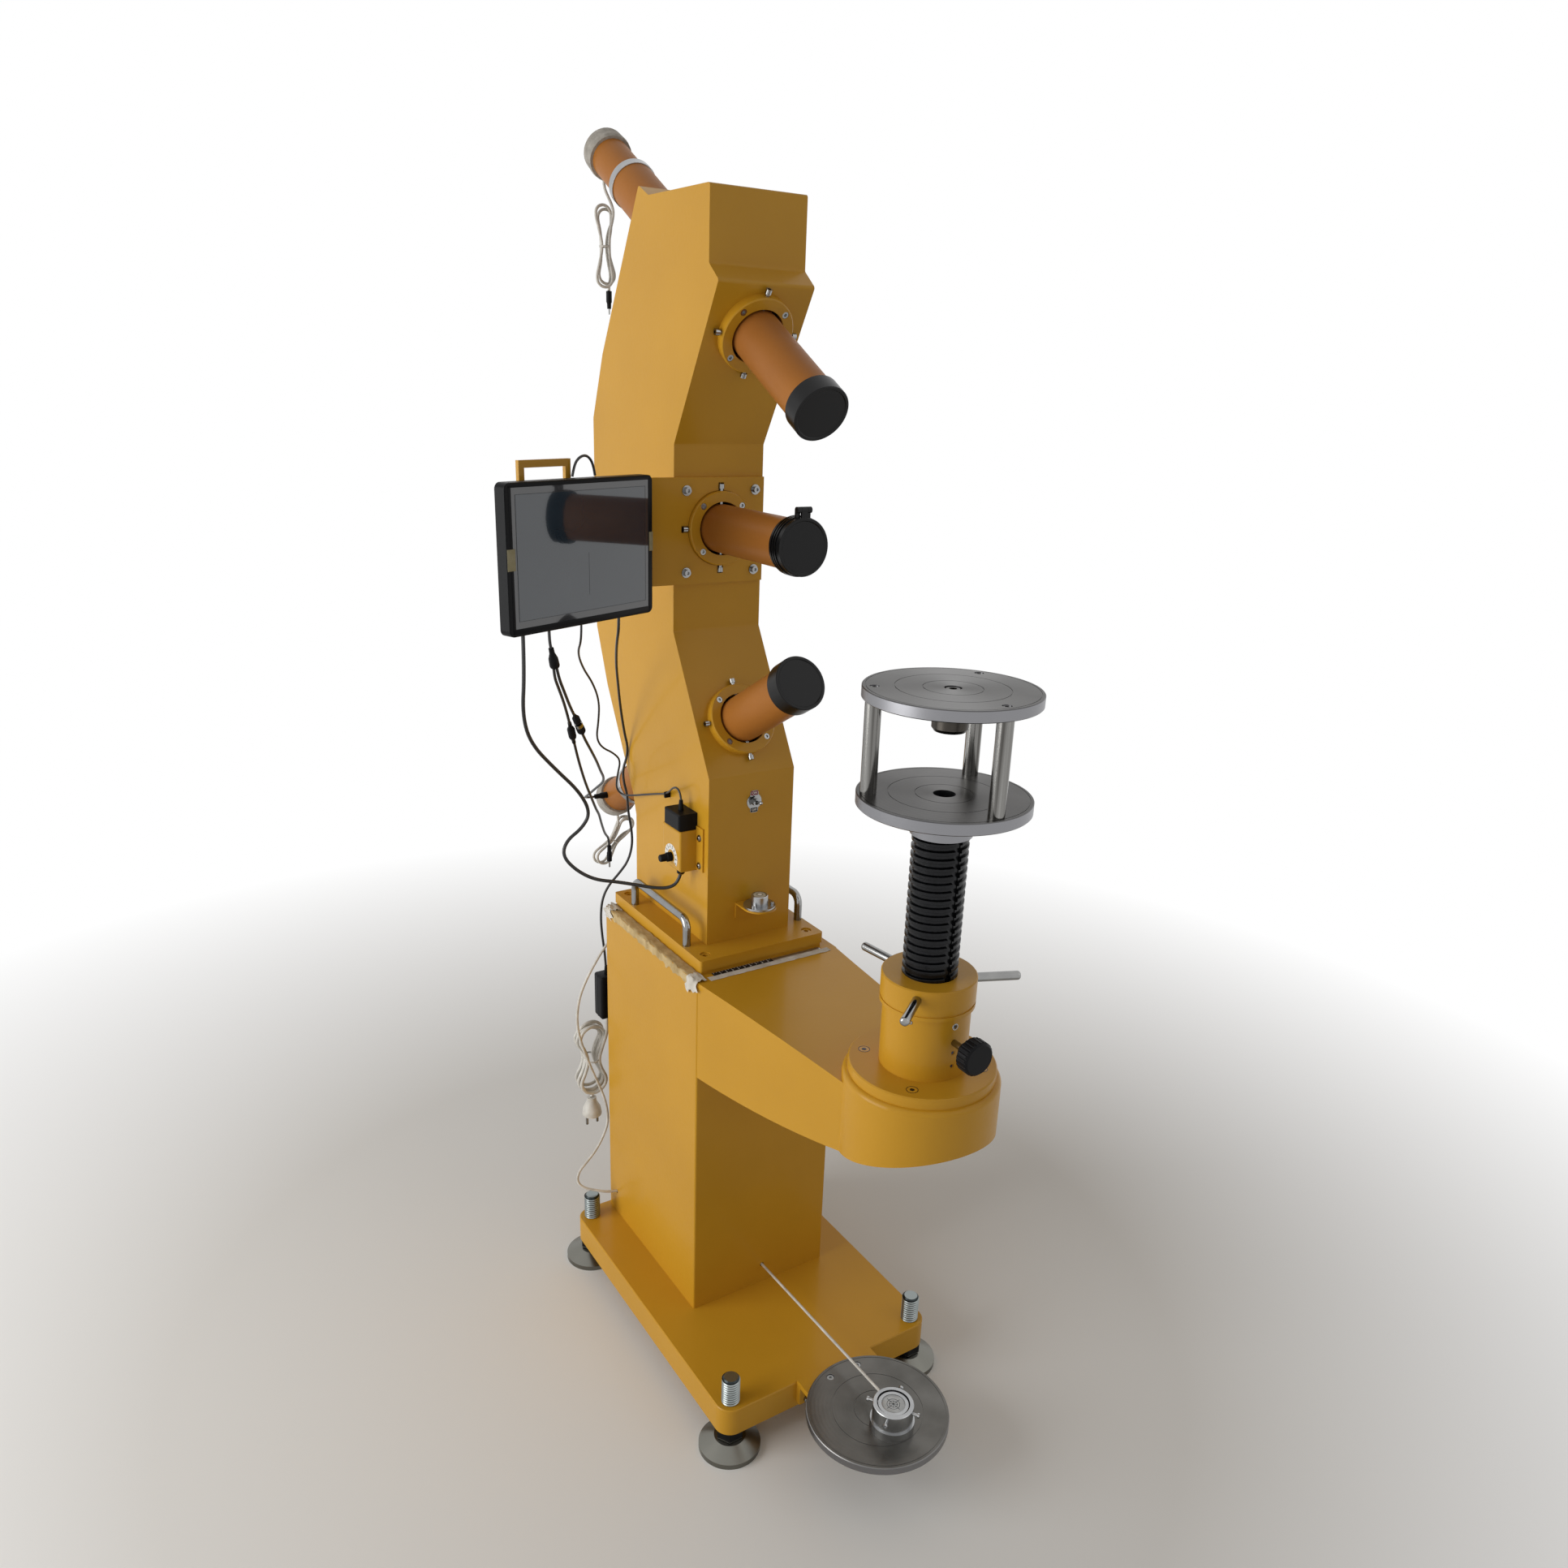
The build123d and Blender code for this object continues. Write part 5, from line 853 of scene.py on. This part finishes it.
class COLLIMATOR_OT_tapes(bpy.types.Operator):
    """Adds the masking tape and the scale strip round the column's flange"""
    bl_idname = "collimator.tapes"
    bl_label = "Tapes and scale strip"

    def execute(self, context):
        lift = context.scene.collimator_sizes.tape_lift
        ledge = 0.6533
        left = facing((-0.1045, 0.652, ledge), (-1, 0, 0), (0, -1, 0))
        front = facing((-0.1, 0.3615, ledge), (0, -1, 0), (1, 0, 0))
        side = draped(0.290, 0.0285, 0.0161, lift, 0.007, 0.0022, left, 1.0)
        make_piece("side_tape", side, "beige_tape", smooth=60.0)
        torn_front = facing((-0.1045, 0.382, ledge), (-1, 0, 0), (0, -1, 0))
        torn_rear = facing((-0.1045, 0.6585, ledge), (-1, 0, 0), (0, -1, 0))
        strips = together(
            draped(0.207, 0.0120, 0.0130, lift, 0.0012, 0.0008, front, 2.0),
            draped(0.030, 0.034, 0.0165, 0.0012, 0.014, 0.0045, torn_front, 5.0),
            draped(0.026, 0.032, 0.0165, 0.0012, 0.012, 0.0035, torn_rear, 8.0),
        )
        make_piece("front_tape", strips, "white_tape", smooth=60.0)
        rule = slab((-0.088, 0.3608, ledge), (0.012, 0.3696, ledge + 0.0008), 0.0002, at((0, 0, 0)))
        make_piece("scale_strip", rule, "black_print")
        blade = slab((0.012, 0.3622, ledge), (0.096, 0.3692, ledge + 0.0006), 0.0002, at((0, 0, 0)))
        make_piece("scale_strip_back", blade, "aluminium")
        marks, figures = [], []
        for step in range(20):
            x = -0.086 + 0.005 * step
            length = 0.0034 if step % 2 == 0 else 0.0022
            marks.append(slab(
                (x - 0.0003, 0.3694 - length, ledge + 0.0008), (x + 0.0003, 0.3694, ledge + 0.0009),
                place=at((0, 0, 0))))
            if step % 2 == 0 and step:
                figures.append((str(step // 2), 0.0042, facing((x, 0.3634, ledge + 0.0009), (1, 0, 0), (0, 1, 0))))
        make_piece("scale_marks", together(*marks), "white_print")
        lettering("scale_figures", figures, "white_print")
        return {"FINISHED"}


class COLLIMATOR_OT_lamp_controls(bpy.types.Operator):
    """Adds the dial of the dimmer and the tabs of the switch plate"""
    bl_idname = "collimator.lamp_controls"
    bl_label = "Lamp controls"

    def execute(self, context):
        outer = context.scene.collimator_sizes.dial_radius
        face = facing((-0.0996, 0.473, 0.8005), (0, -1, 0), (0, 0, 1))
        start = Matrix.Rotation(math.radians(-32), 4, "Z")
        band = spun(
            [(0.0105, 0.0), (0.0105, 0.0003), (outer, 0.0003), (outer, 0.0)], face @ start, steps=72, turns=244 / 360)
        make_piece("dial", band, "white_print")
        figures, ticks = [], []
        for number in range(10):
            angle = math.radians(204 - 25.5 * number)
            turn = Matrix.Rotation(angle - math.pi / 2, 4, "Z")
            spot = Matrix.Translation((0.0146 * math.cos(angle), 0.0146 * math.sin(angle), 0.00032))
            figures.append((str(number), 0.0050, face @ spot @ turn))
            ticks.append(slab(
                (-0.0003, outer - 0.0022, 0.0003), (0.0003, outer - 0.0004, 0.0004), place=face @ turn))
        lettering("dial_figures", figures, "black_print")
        make_piece("dial_ticks", together(*ticks), "black_print")
        plate = facing((0.004, 0.4146, 0.887), (1, 0, 0), (0, 0, 1))
        red = slab((-0.0056, 0.0095, 0.0), (0.0056, 0.0158, 0.0003), 0.0001, plate)
        make_piece("switch_on_tab", red, "red_print")
        dark = slab((-0.0056, -0.0158, 0.0), (0.0056, -0.0095, 0.0003), 0.0001, plate)
        make_piece("switch_off_tab", dark, "black_print")
        words = [
            ("ON", 0.0052, plate @ Matrix.Translation((0, 0.0127, 0.00035))),
            ("OFF", 0.0048, plate @ Matrix.Translation((0, -0.0127, 0.00035))),
        ]
        lettering("switch_words", words, "white_print")
        return {"FINISHED"}


class COLLIMATOR_OT_targets(bpy.types.Operator):
    """Adds the glass reticle of the floor target, and the ring and bubble of the round level"""
    bl_idname = "collimator.targets"
    bl_label = "Reticle and level"

    def execute(self, context):
        cell = at((0, 0, 0.1353))
        glass = spun([(0.0, 0.0002), (0.0160, 0.0002), (0.0163, 0.0)], cell, steps=48)
        make_piece("reticle_glass", glass, "reticle")
        lines = [
            spun([(radius - 0.0003, 0.00022), (radius - 0.0003, 0.0003), (radius + 0.0003, 0.0003),
                  (radius + 0.0003, 0.00022)], cell, steps=64)
            for radius in (0.0055, 0.0088)
        ]
        for angle, long in ((8, 0.0122), (98, 0.0122), (53, 0.0062), (143, 0.0062)):
            turn = cell @ Matrix.Rotation(math.radians(angle), 4, "Z")
            lines.append(slab((-long, -0.0003, 0.00022), (long, 0.0003, 0.0003), place=turn))
        make_piece("reticle_lines", together(*lines), "reticle_ink")
        level = at((0.001, 0.388, 0.7520))
        ring = spun([(0.0042, 0.0), (0.0042, 0.0001), (0.0046, 0.0001), (0.0046, 0.0)], level, steps=40)
        make_piece("level_ring", ring, "black_print")
        aside = level @ Matrix.Translation((0.0006, 0.0004, 0))
        bubble = spun([(0.0, 0.00012), (0.0028, 0.0001), (0.0031, 0.0)], aside, steps=32)
        make_piece("level_bubble", bubble, "white_print")
        return {"FINISHED"}


class COLLIMATOR_OT_small_screws(bpy.types.Operator):
    """Adds the small screws of the stand, the control box and the target's bracket, and the clamp's bright shaft"""
    bl_idname = "collimator.small_screws"
    bl_label = "Small screws"

    def execute(self, context):
        def head(spot, way, radius, height):
            start = Vector(spot)
            return turned(
                [(0.0, height - radius * 0.6), (radius * 0.5, height - radius * 0.6), (radius * 0.5, height),
                 (radius * 0.85, height), (radius, height - radius * 0.15), (radius, 0.0)],
                start, start + Vector(way), 24)
        bright = [head((x, 0.1360, 0.054), (0, -1, 0), 0.0045, 0.0045) for x in (-0.051, 0.051)]
        bright += [
            turned([(0.0015, 0.0016), (0.0015, 0.0028), (0.0029, 0.0028), (0.0038, 0.0020), (0.0039, 0.0010),
                    (0.0052, 0.0010), (0.0053, 0.0)], (-0.0731, 0.437, z), (-0.0741, 0.437, z))
            for z in (0.7935, 0.836)
        ]
        make_piece("bracket_screws", together(*bright), "chrome")
        ways = [(math.cos(math.radians(angle)), math.sin(math.radians(angle)), 0) for angle in (-35.0, 85.0, 205.0)]
        collar = [head((0.0364 * way[0], 0.0364 * way[1], 0.995), way, 0.0028, 0.0009) for way in ways]
        make_piece("collar_screws", together(*collar), "dark_screw", "stand_column")
        x, y = math.cos(math.radians(-150.0)), math.sin(math.radians(-150.0))
        key = head((0.0536 * x, 0.0536 * y, 0.7575), (x, y, 0), 0.0026, 0.0012)
        make_piece("guide_key_screw", key, "chrome")
        # Painted shade: dark rings round the flange bolts stand for the shadow in the gap round each head, and dark
        # hexagons on the flange bolts and set screws for the shade inside their sockets.
        sockets = []
        flange_top, circle, proud = 0.681, 0.073, 0.0002
        for angle in (42.0, 132.0, 222.0, 312.0):
            x, y = circle * math.cos(math.radians(angle)), circle * math.sin(math.radians(angle))
            way = (x, y, flange_top), (x, y, flange_top + 0.001)
            sockets.append(turned([(0.0066, 0.0), (0.0066, proud), (0.0073, proud), (0.0073, 0.0)], *way, 32))
            sockets.append(turned([(0.0, proud), (0.0031, proud), (0.0031, 0.0)], *way, 6))
        for z in (0.699, 0.717, 0.752):
            hexagon = [(0.0, proud), (0.0020, proud), (0.0020, 0.0)]
            sockets.append(turned(hexagon, (0, -0.0527, z), (0, -0.0537, z), 6))
        make_piece("stand_socket_shades", together(*sockets), "dark_screw")
        ring = turned(
            [(0.0030, 0.0), (0.0031, 0.0004), (0.0042, 0.0004), (0.0044, 0.0)],
            (0, -0.0535, 0.752), (0, -0.0545, 0.752), 32)
        make_piece("top_set_screw_rim", ring, "chrome")
        shaft = turned(
            [(0.0041, 0.0), (0.0042, proud), (0.0042, 0.0176)], (0, -0.0542, 0.731), (0, -0.0552, 0.731), 32)
        make_piece("clamp_shaft_sleeve", shaft, "chrome", "clamp_knob")
        return {"FINISHED"}


class COLLIMATOR_OT_monitor_trim(bpy.types.Operator):
    """Adds the lip of the monitor's bezel, its window, the tape tabs of the protective film and the film's edge"""
    bl_idname = "collimator.monitor_trim"
    bl_label = "Monitor trim"

    def execute(self, context):
        yaw = math.radians(21.9)
        across, depth = (math.cos(yaw), math.sin(yaw), 0), (-math.sin(yaw), math.cos(yaw), 0)
        turn = Matrix((across, depth, (0, 0, 1))).transposed().to_4x4()
        monitor = at((-0.2369, 0.447, 1.2451)) @ turn
        tabs = [
            slab((-0.1285, -0.0006, -0.011), (-0.1160, -0.0002, 0.0145), 0.0001, monitor),
            slab((0.1212, -0.0006, -0.0077), (0.1285, -0.0002, 0.0172), 0.0001, monitor),
        ]
        make_piece("film_tabs", together(*tabs), "tab_tape", "monitor")
        rim = [
            slab(low, high, 0.0001, monitor)
            for low, high in (
                ((-0.1230, -0.0002, -0.0870), (-0.1190, 0.0008, 0.0870)),
                ((0.1206, -0.0002, -0.0870), (0.1230, 0.0008, 0.0870)),
                ((-0.1230, -0.0002, -0.0870), (0.1230, 0.0008, -0.0812)),
                ((-0.1230, -0.0002, 0.0846), (0.1230, 0.0008, 0.0870)),
            )
        ]
        make_piece("bezel_lip", together(*rim), "bezel", "monitor")
        window = slab((-0.1125, 0.00022, -0.0725), (0.1142, 0.00030, 0.0765), 0.0, monitor)
        make_piece("lcd_window", window, "window", "monitor")
        edge = [slab((-0.1125, 0.0001, z), (0.1142, 0.0002, z + 0.0004), 0.0, monitor) for z in (-0.0727, 0.0763)]
        edge += [slab((x, 0.0001, -0.0727), (x + 0.0004, 0.0002, 0.0767), 0.0, monitor) for x in (-0.1127, 0.1140)]
        edge.append(slab((0.0078, 0.0001, -0.053), (0.0081, 0.0002, 0.0), 0.0, monitor))
        make_piece("film_edge", together(*edge), "film", "monitor")
        return {"FINISHED"}


class COLLIMATOR_OT_cord_fittings(bpy.types.Operator):
    """Adds the moulded pieces on the leads in place of their plain solids"""
    bl_idname = "collimator.cord_fittings"
    bl_label = "Fittings of the leads"

    def execute(self, context):
        def ribbed(start, end, small, large, ribs):
            length = (Vector(end) - Vector(start)).length
            pieces = [turned([
                (small * 0.55, 0.0), (small, 0.0012), (small * 1.05, length * 0.2), (large, length * 0.3),
                (large, length * 0.72), (small * 1.05, length * 0.8), (small, length - 0.0012), (small * 0.55, length),
            ], start, end)]
            for rib in range(ribs):
                z = length * 0.34 + length * 0.32 * rib / max(1, ribs - 1)
                pieces.append(turned([(large, z - 0.0007), (large + 0.0005, z), (large, z + 0.0007)], start, end))
            return pieces
        start, end = Vector((-0.231, 0.506, 1.020)), Vector((-0.207, 0.535, 0.983))
        joint = start.lerp(end, 0.5)
        reach = (end - joint).normalized() * 0.004
        supply = together(
            slab((-0.126, 0.669, 0.441), (-0.094, 0.699, 0.519), 0.004, at((0, 0, 0)), 4),
            slab((-0.1262, 0.6838, 0.4425), (-0.0938, 0.6842, 0.5175), 0.0001, at((0, 0, 0))),
            turned([(0.0036, 0.0), (0.0036, 0.0008), (0.0026, 0.014), (0.0021, 0.014)],
                   (-0.11, 0.684, 0.519), (-0.11, 0.684, 0.534)),
        )
        pins = [
            turned([(0.0, 0.0), (0.0024, 0.0), (0.0024, 0.0178), (0.0016, 0.019), (0.0, 0.019)],
                   (-0.134 + side * 0.0095, 0.7, 0.245), (-0.134 + side * 0.0095, 0.7, 0.226))
            for side in (-1, 1)
        ]
        top_tie, mains_tie, lower_tie = [
            spun([(1.0, -0.0011), (1.1, -0.0013), (1.16, 0.0), (1.1, 0.0013), (1.0, 0.0011)],
                 at(spot) @ Matrix.Rotation(lean, 4, "Y") @ Matrix.Diagonal((*half, 1.0, 1.0)), 32)
            for spot, half, lean in (
                ((0.0, 0.888, 1.641), (0.0074, 0.0087), 0.0), ((-0.134, 0.7, 0.357), (0.0122, 0.0172), 0.0),
                ((-0.016, 0.85, 0.6828), (0.0078, 0.0087), 0.72),
            )
        ]
        for name, cord, shape, finish in (
            ("monitor_fork", "video_branch_left", turned([
                (0.0021, 0.0), (0.0034, 0.0006), (0.0036, 0.008), (0.0062, 0.016), (0.0066, 0.0265),
                (0.0060, 0.0288), (0.0, 0.0288),
            ], (-0.2869, 0.4441, 1.129), (-0.2790, 0.4520, 1.102)), "knob"),
            ("left_connector", "video_branch_left", together(
                *ribbed((-0.232, 0.522, 1.006), (-0.216, 0.545, 0.968), 0.0027, 0.0050, 7)), "knob"),
            ("right_connector", "video_branch_right", together(
                *ribbed(start, joint, 0.0026, 0.0048, 4), *ribbed(joint, end, 0.0028, 0.0056, 4)), "knob"),
            ("connector_collar", "video_branch_right", turned(
                [(0.0030, 0.0), (0.0058, 0.0003), (0.0058, 0.0077), (0.0030, 0.008)],
                joint - reach, joint + reach), "chrome"),
            ("barrel_plug", "video_branch_right", turned([
                (0.0021, 0.0), (0.0042, 0.0006), (0.0044, 0.010), (0.0054, 0.012), (0.0056, 0.0226), (0.0, 0.0226),
            ], (-0.052, 0.8487, 0.7704), (-0.0293, 0.8487, 0.7704)), "knob"),
            ("power_grommet", "power_lead", turned(
                [(0.0030, 0.0), (0.0046, 0.0004), (0.0058, 0.0022), (0.0058, 0.0086)],
                (-0.09, 0.461, 0.7755), (-0.09, 0.461, 0.7841)), "knob"),
            ("lead_clip", "", slab((-0.0802, 0.5305, 0.869), (-0.0706, 0.5350, 0.8785), 0.0012, at((0, 0, 0))), "knob"),
            ("lamp_plug", "video_branch_left", turned([
                (0.0021, 0.0), (0.0034, 0.0008), (0.0036, 0.012), (0.0045, 0.014), (0.0045, 0.0295), (0.004, 0.03),
                (0.0, 0.03),
            ], (-0.032, 0.835, 0.682), (-0.032, 0.835, 0.652)), "knob"),
            ("lamp_plug_tip", "video_branch_left", turned(
                [(0.0015, 0.0), (0.0017, 0.0006), (0.0017, 0.0105), (0.0, 0.0125)],
                (-0.032, 0.835, 0.652), (-0.032, 0.835, 0.640)), "chrome"),
            ("lamp_supply", "brick_lead", supply, "knob"),
            ("hank_plug", "top_hank", turned([
                (0.0023, 0.0), (0.0044, 0.0006), (0.0044, 0.016), (0.0034, 0.018), (0.0030, 0.026), (0.0, 0.026),
            ], (0.006, 0.888, 1.579), (0.006, 0.888, 1.553)), "knob"),
            ("hank_plug_tip", "top_hank", turned(
                [(0.0015, 0.0), (0.0015, 0.008), (0.0, 0.0082)],
                (0.006, 0.888, 1.553), (0.006, 0.888, 1.545)), "chrome"),
            ("top_hank_tie", "top_hank", top_tie, "white_sheath"),
            ("lower_hank_tie", "lower_hank", lower_tie, "white_sheath"),
            ("mains_plug", "mains_coil", turned([
                (0.0031, 0.0), (0.0078, 0.0006), (0.0084, 0.008), (0.0150, 0.020), (0.0170, 0.031), (0.0165, 0.034),
                (0.0, 0.034),
            ], (-0.134, 0.7, 0.279), (-0.134, 0.7, 0.245), 32), "white_sheath"),
            ("mains_pins", "mains_coil", together(*pins), "chrome"),
            ("mains_tie", "mains_coil", mains_tie, "white_sheath"),
        ):
            piece = make_piece(name, shape, finish, replaces=["cord_fittings"])
            carried.setdefault(cord, []).append(piece)
        return {"FINISHED"}


class COLLIMATOR_OT_camera_loop(bpy.types.Operator):
    """Adds the short loop of the thin lead that shows above the monitor"""
    bl_idname = "collimator.camera_loop"
    bl_label = "Loop above the monitor"

    def execute(self, context):
        make_lead(
            "loop_lead", loop_route, 0.0034, "black", body="monitor", fineness=10)
        return {"FINISHED"}


def rays_that_see(tree):
    """1 for the rays that show the white background: the camera's, and those in metal and glass."""
    ray = add_node(tree, "ShaderNodeLightPath").outputs
    seen = worked(tree, "MAXIMUM", ray["Is Camera Ray"], ray["Is Glossy Ray"])
    return worked(tree, "MAXIMUM", seen, ray["Is Transmission Ray"])


def shown_white(tree, share, usual, kind, output):
    """Mixes plain white into what a tree gives out, by a share."""
    white = add_node(tree, kind, {"Color": (1, 1, 1, 1), "Strength": 1.0})
    mix = add_node(tree, "ShaderNodeMixShader", None, {0: share, 1: usual, 2: white.outputs[0]})
    tree.links.new(mix.outputs["Shader"], tree.nodes[output].inputs["Surface"])


class COLLIMATOR_OT_studio(bpy.types.Operator):
    """Adds the pale floor and the soft light"""
    bl_idname = "collimator.studio"
    bl_label = "Studio"

    def execute(self, context):
        stage = context.scene.collimator_stage
        floor_finish, tree, shader = new_material("studio_floor", Roughness=0.8, Base_Color=linear(stage.floor))
        reach = add_node(tree, "ShaderNodeVectorMath", {"operation": "LENGTH"}, {0: object_place(tree)})
        fade = add_node(
            tree, "ShaderNodeMapRange", {"From Min": 0.8, "From Max": 2.2}, {"Value": reach.outputs["Value"]})
        share = worked(tree, "MULTIPLY", fade.outputs["Result"], rays_that_see(tree))
        shown_white(tree, share, shader.outputs["BSDF"], "ShaderNodeEmission", "Material Output")
        shape = bmesh.new()
        bmesh.ops.create_circle(shape, cap_ends=True, radius=9.0, segments=96)
        mesh = bpy.data.meshes.new("floor")
        shape.to_mesh(mesh)
        shape.free()
        mesh.materials.append(floor_finish)
        floor = bpy.data.objects.new("floor", mesh)
        floor.location = (0, 0, cad_box[0][2])
        context.scene.collection.objects.link(floor)

        world = bpy.data.worlds.new("studio")
        world.use_nodes = True
        context.scene.world = world
        sky = world.node_tree
        even = sky.nodes["Background"]
        even.inputs["Color"].default_value = linear("#FFF8F0")
        even.inputs["Strength"].default_value = stage.sky
        shown_white(sky, rays_that_see(sky), even.outputs["Background"], "ShaderNodeBackground", "World Output")
        for name, spot, aim, size, power in (
            ("key", (-2.9, 0.4, 1.35), (0.0, 0.0, 0.7), 2.2, stage.key_power),
            ("fill", (1.8, -2.6, 2.6), (0.0, 0.0, 0.9), 2.4, stage.key_power * 0.10),
        ):
            data = bpy.data.lights.new(name, "AREA")
            data.size = size
            data.energy = power
            lamp = bpy.data.objects.new(name, data)
            lamp.matrix_world = between(spot, aim) @ Matrix.Rotation(math.pi, 4, "X")
            context.scene.collection.objects.link(lamp)
        context.scene.view_settings.view_transform = "Standard"
        return {"FINISHED"}


class COLLIMATOR_PT_panel(bpy.types.Panel):
    """Lists the steps of the stand's finish"""
    bl_idname = "COLLIMATOR_PT_panel"
    bl_label = "Collimator stand"
    bl_space_type = "VIEW_3D"
    bl_region_type = "UI"
    bl_category = "Collimator"

    def draw(self, context):
        for group in ("collimator_tones", "collimator_sizes", "collimator_stage"):
            settings = getattr(context.scene, group)
            for name in settings.__annotations__:
                self.layout.prop(settings, name)
        for step in steps:
            self.layout.operator(step.bl_idname)


groups = {"collimator_tones": CollimatorTones, "collimator_sizes": CollimatorSizes, "collimator_stage": StageSettings}
steps = (
    COLLIMATOR_OT_camera, COLLIMATOR_OT_cord_fittings, COLLIMATOR_OT_leads, COLLIMATOR_OT_hanks,
    COLLIMATOR_OT_cad_finishes, COLLIMATOR_OT_elevating_screw, COLLIMATOR_OT_rear_bands,
    COLLIMATOR_OT_stud_threads, COLLIMATOR_OT_tapes, COLLIMATOR_OT_lamp_controls, COLLIMATOR_OT_targets,
    COLLIMATOR_OT_small_screws, COLLIMATOR_OT_monitor_trim, COLLIMATOR_OT_camera_loop, COLLIMATOR_OT_studio,
)
finishes = {}
carried = {}


def register():
    for name, group in groups.items():
        bpy.utils.register_class(group)
        setattr(bpy.types.Scene, name, bpy.props.PointerProperty(type=group))
    for item in (*steps, COLLIMATOR_PT_panel):
        bpy.utils.register_class(item)


def unregister():
    for item in reversed((*steps, COLLIMATOR_PT_panel)):
        bpy.utils.unregister_class(item)
    for name, group in groups.items():
        delattr(bpy.types.Scene, name)
        bpy.utils.unregister_class(group)


def main():
    register()
    finishes.update(make_finishes(bpy.context.scene.collimator_tones))
    for step in steps:
        space, name = step.bl_idname.split(".")
        getattr(getattr(bpy.ops, space), name)()


if __name__ == "__main__":
    main()
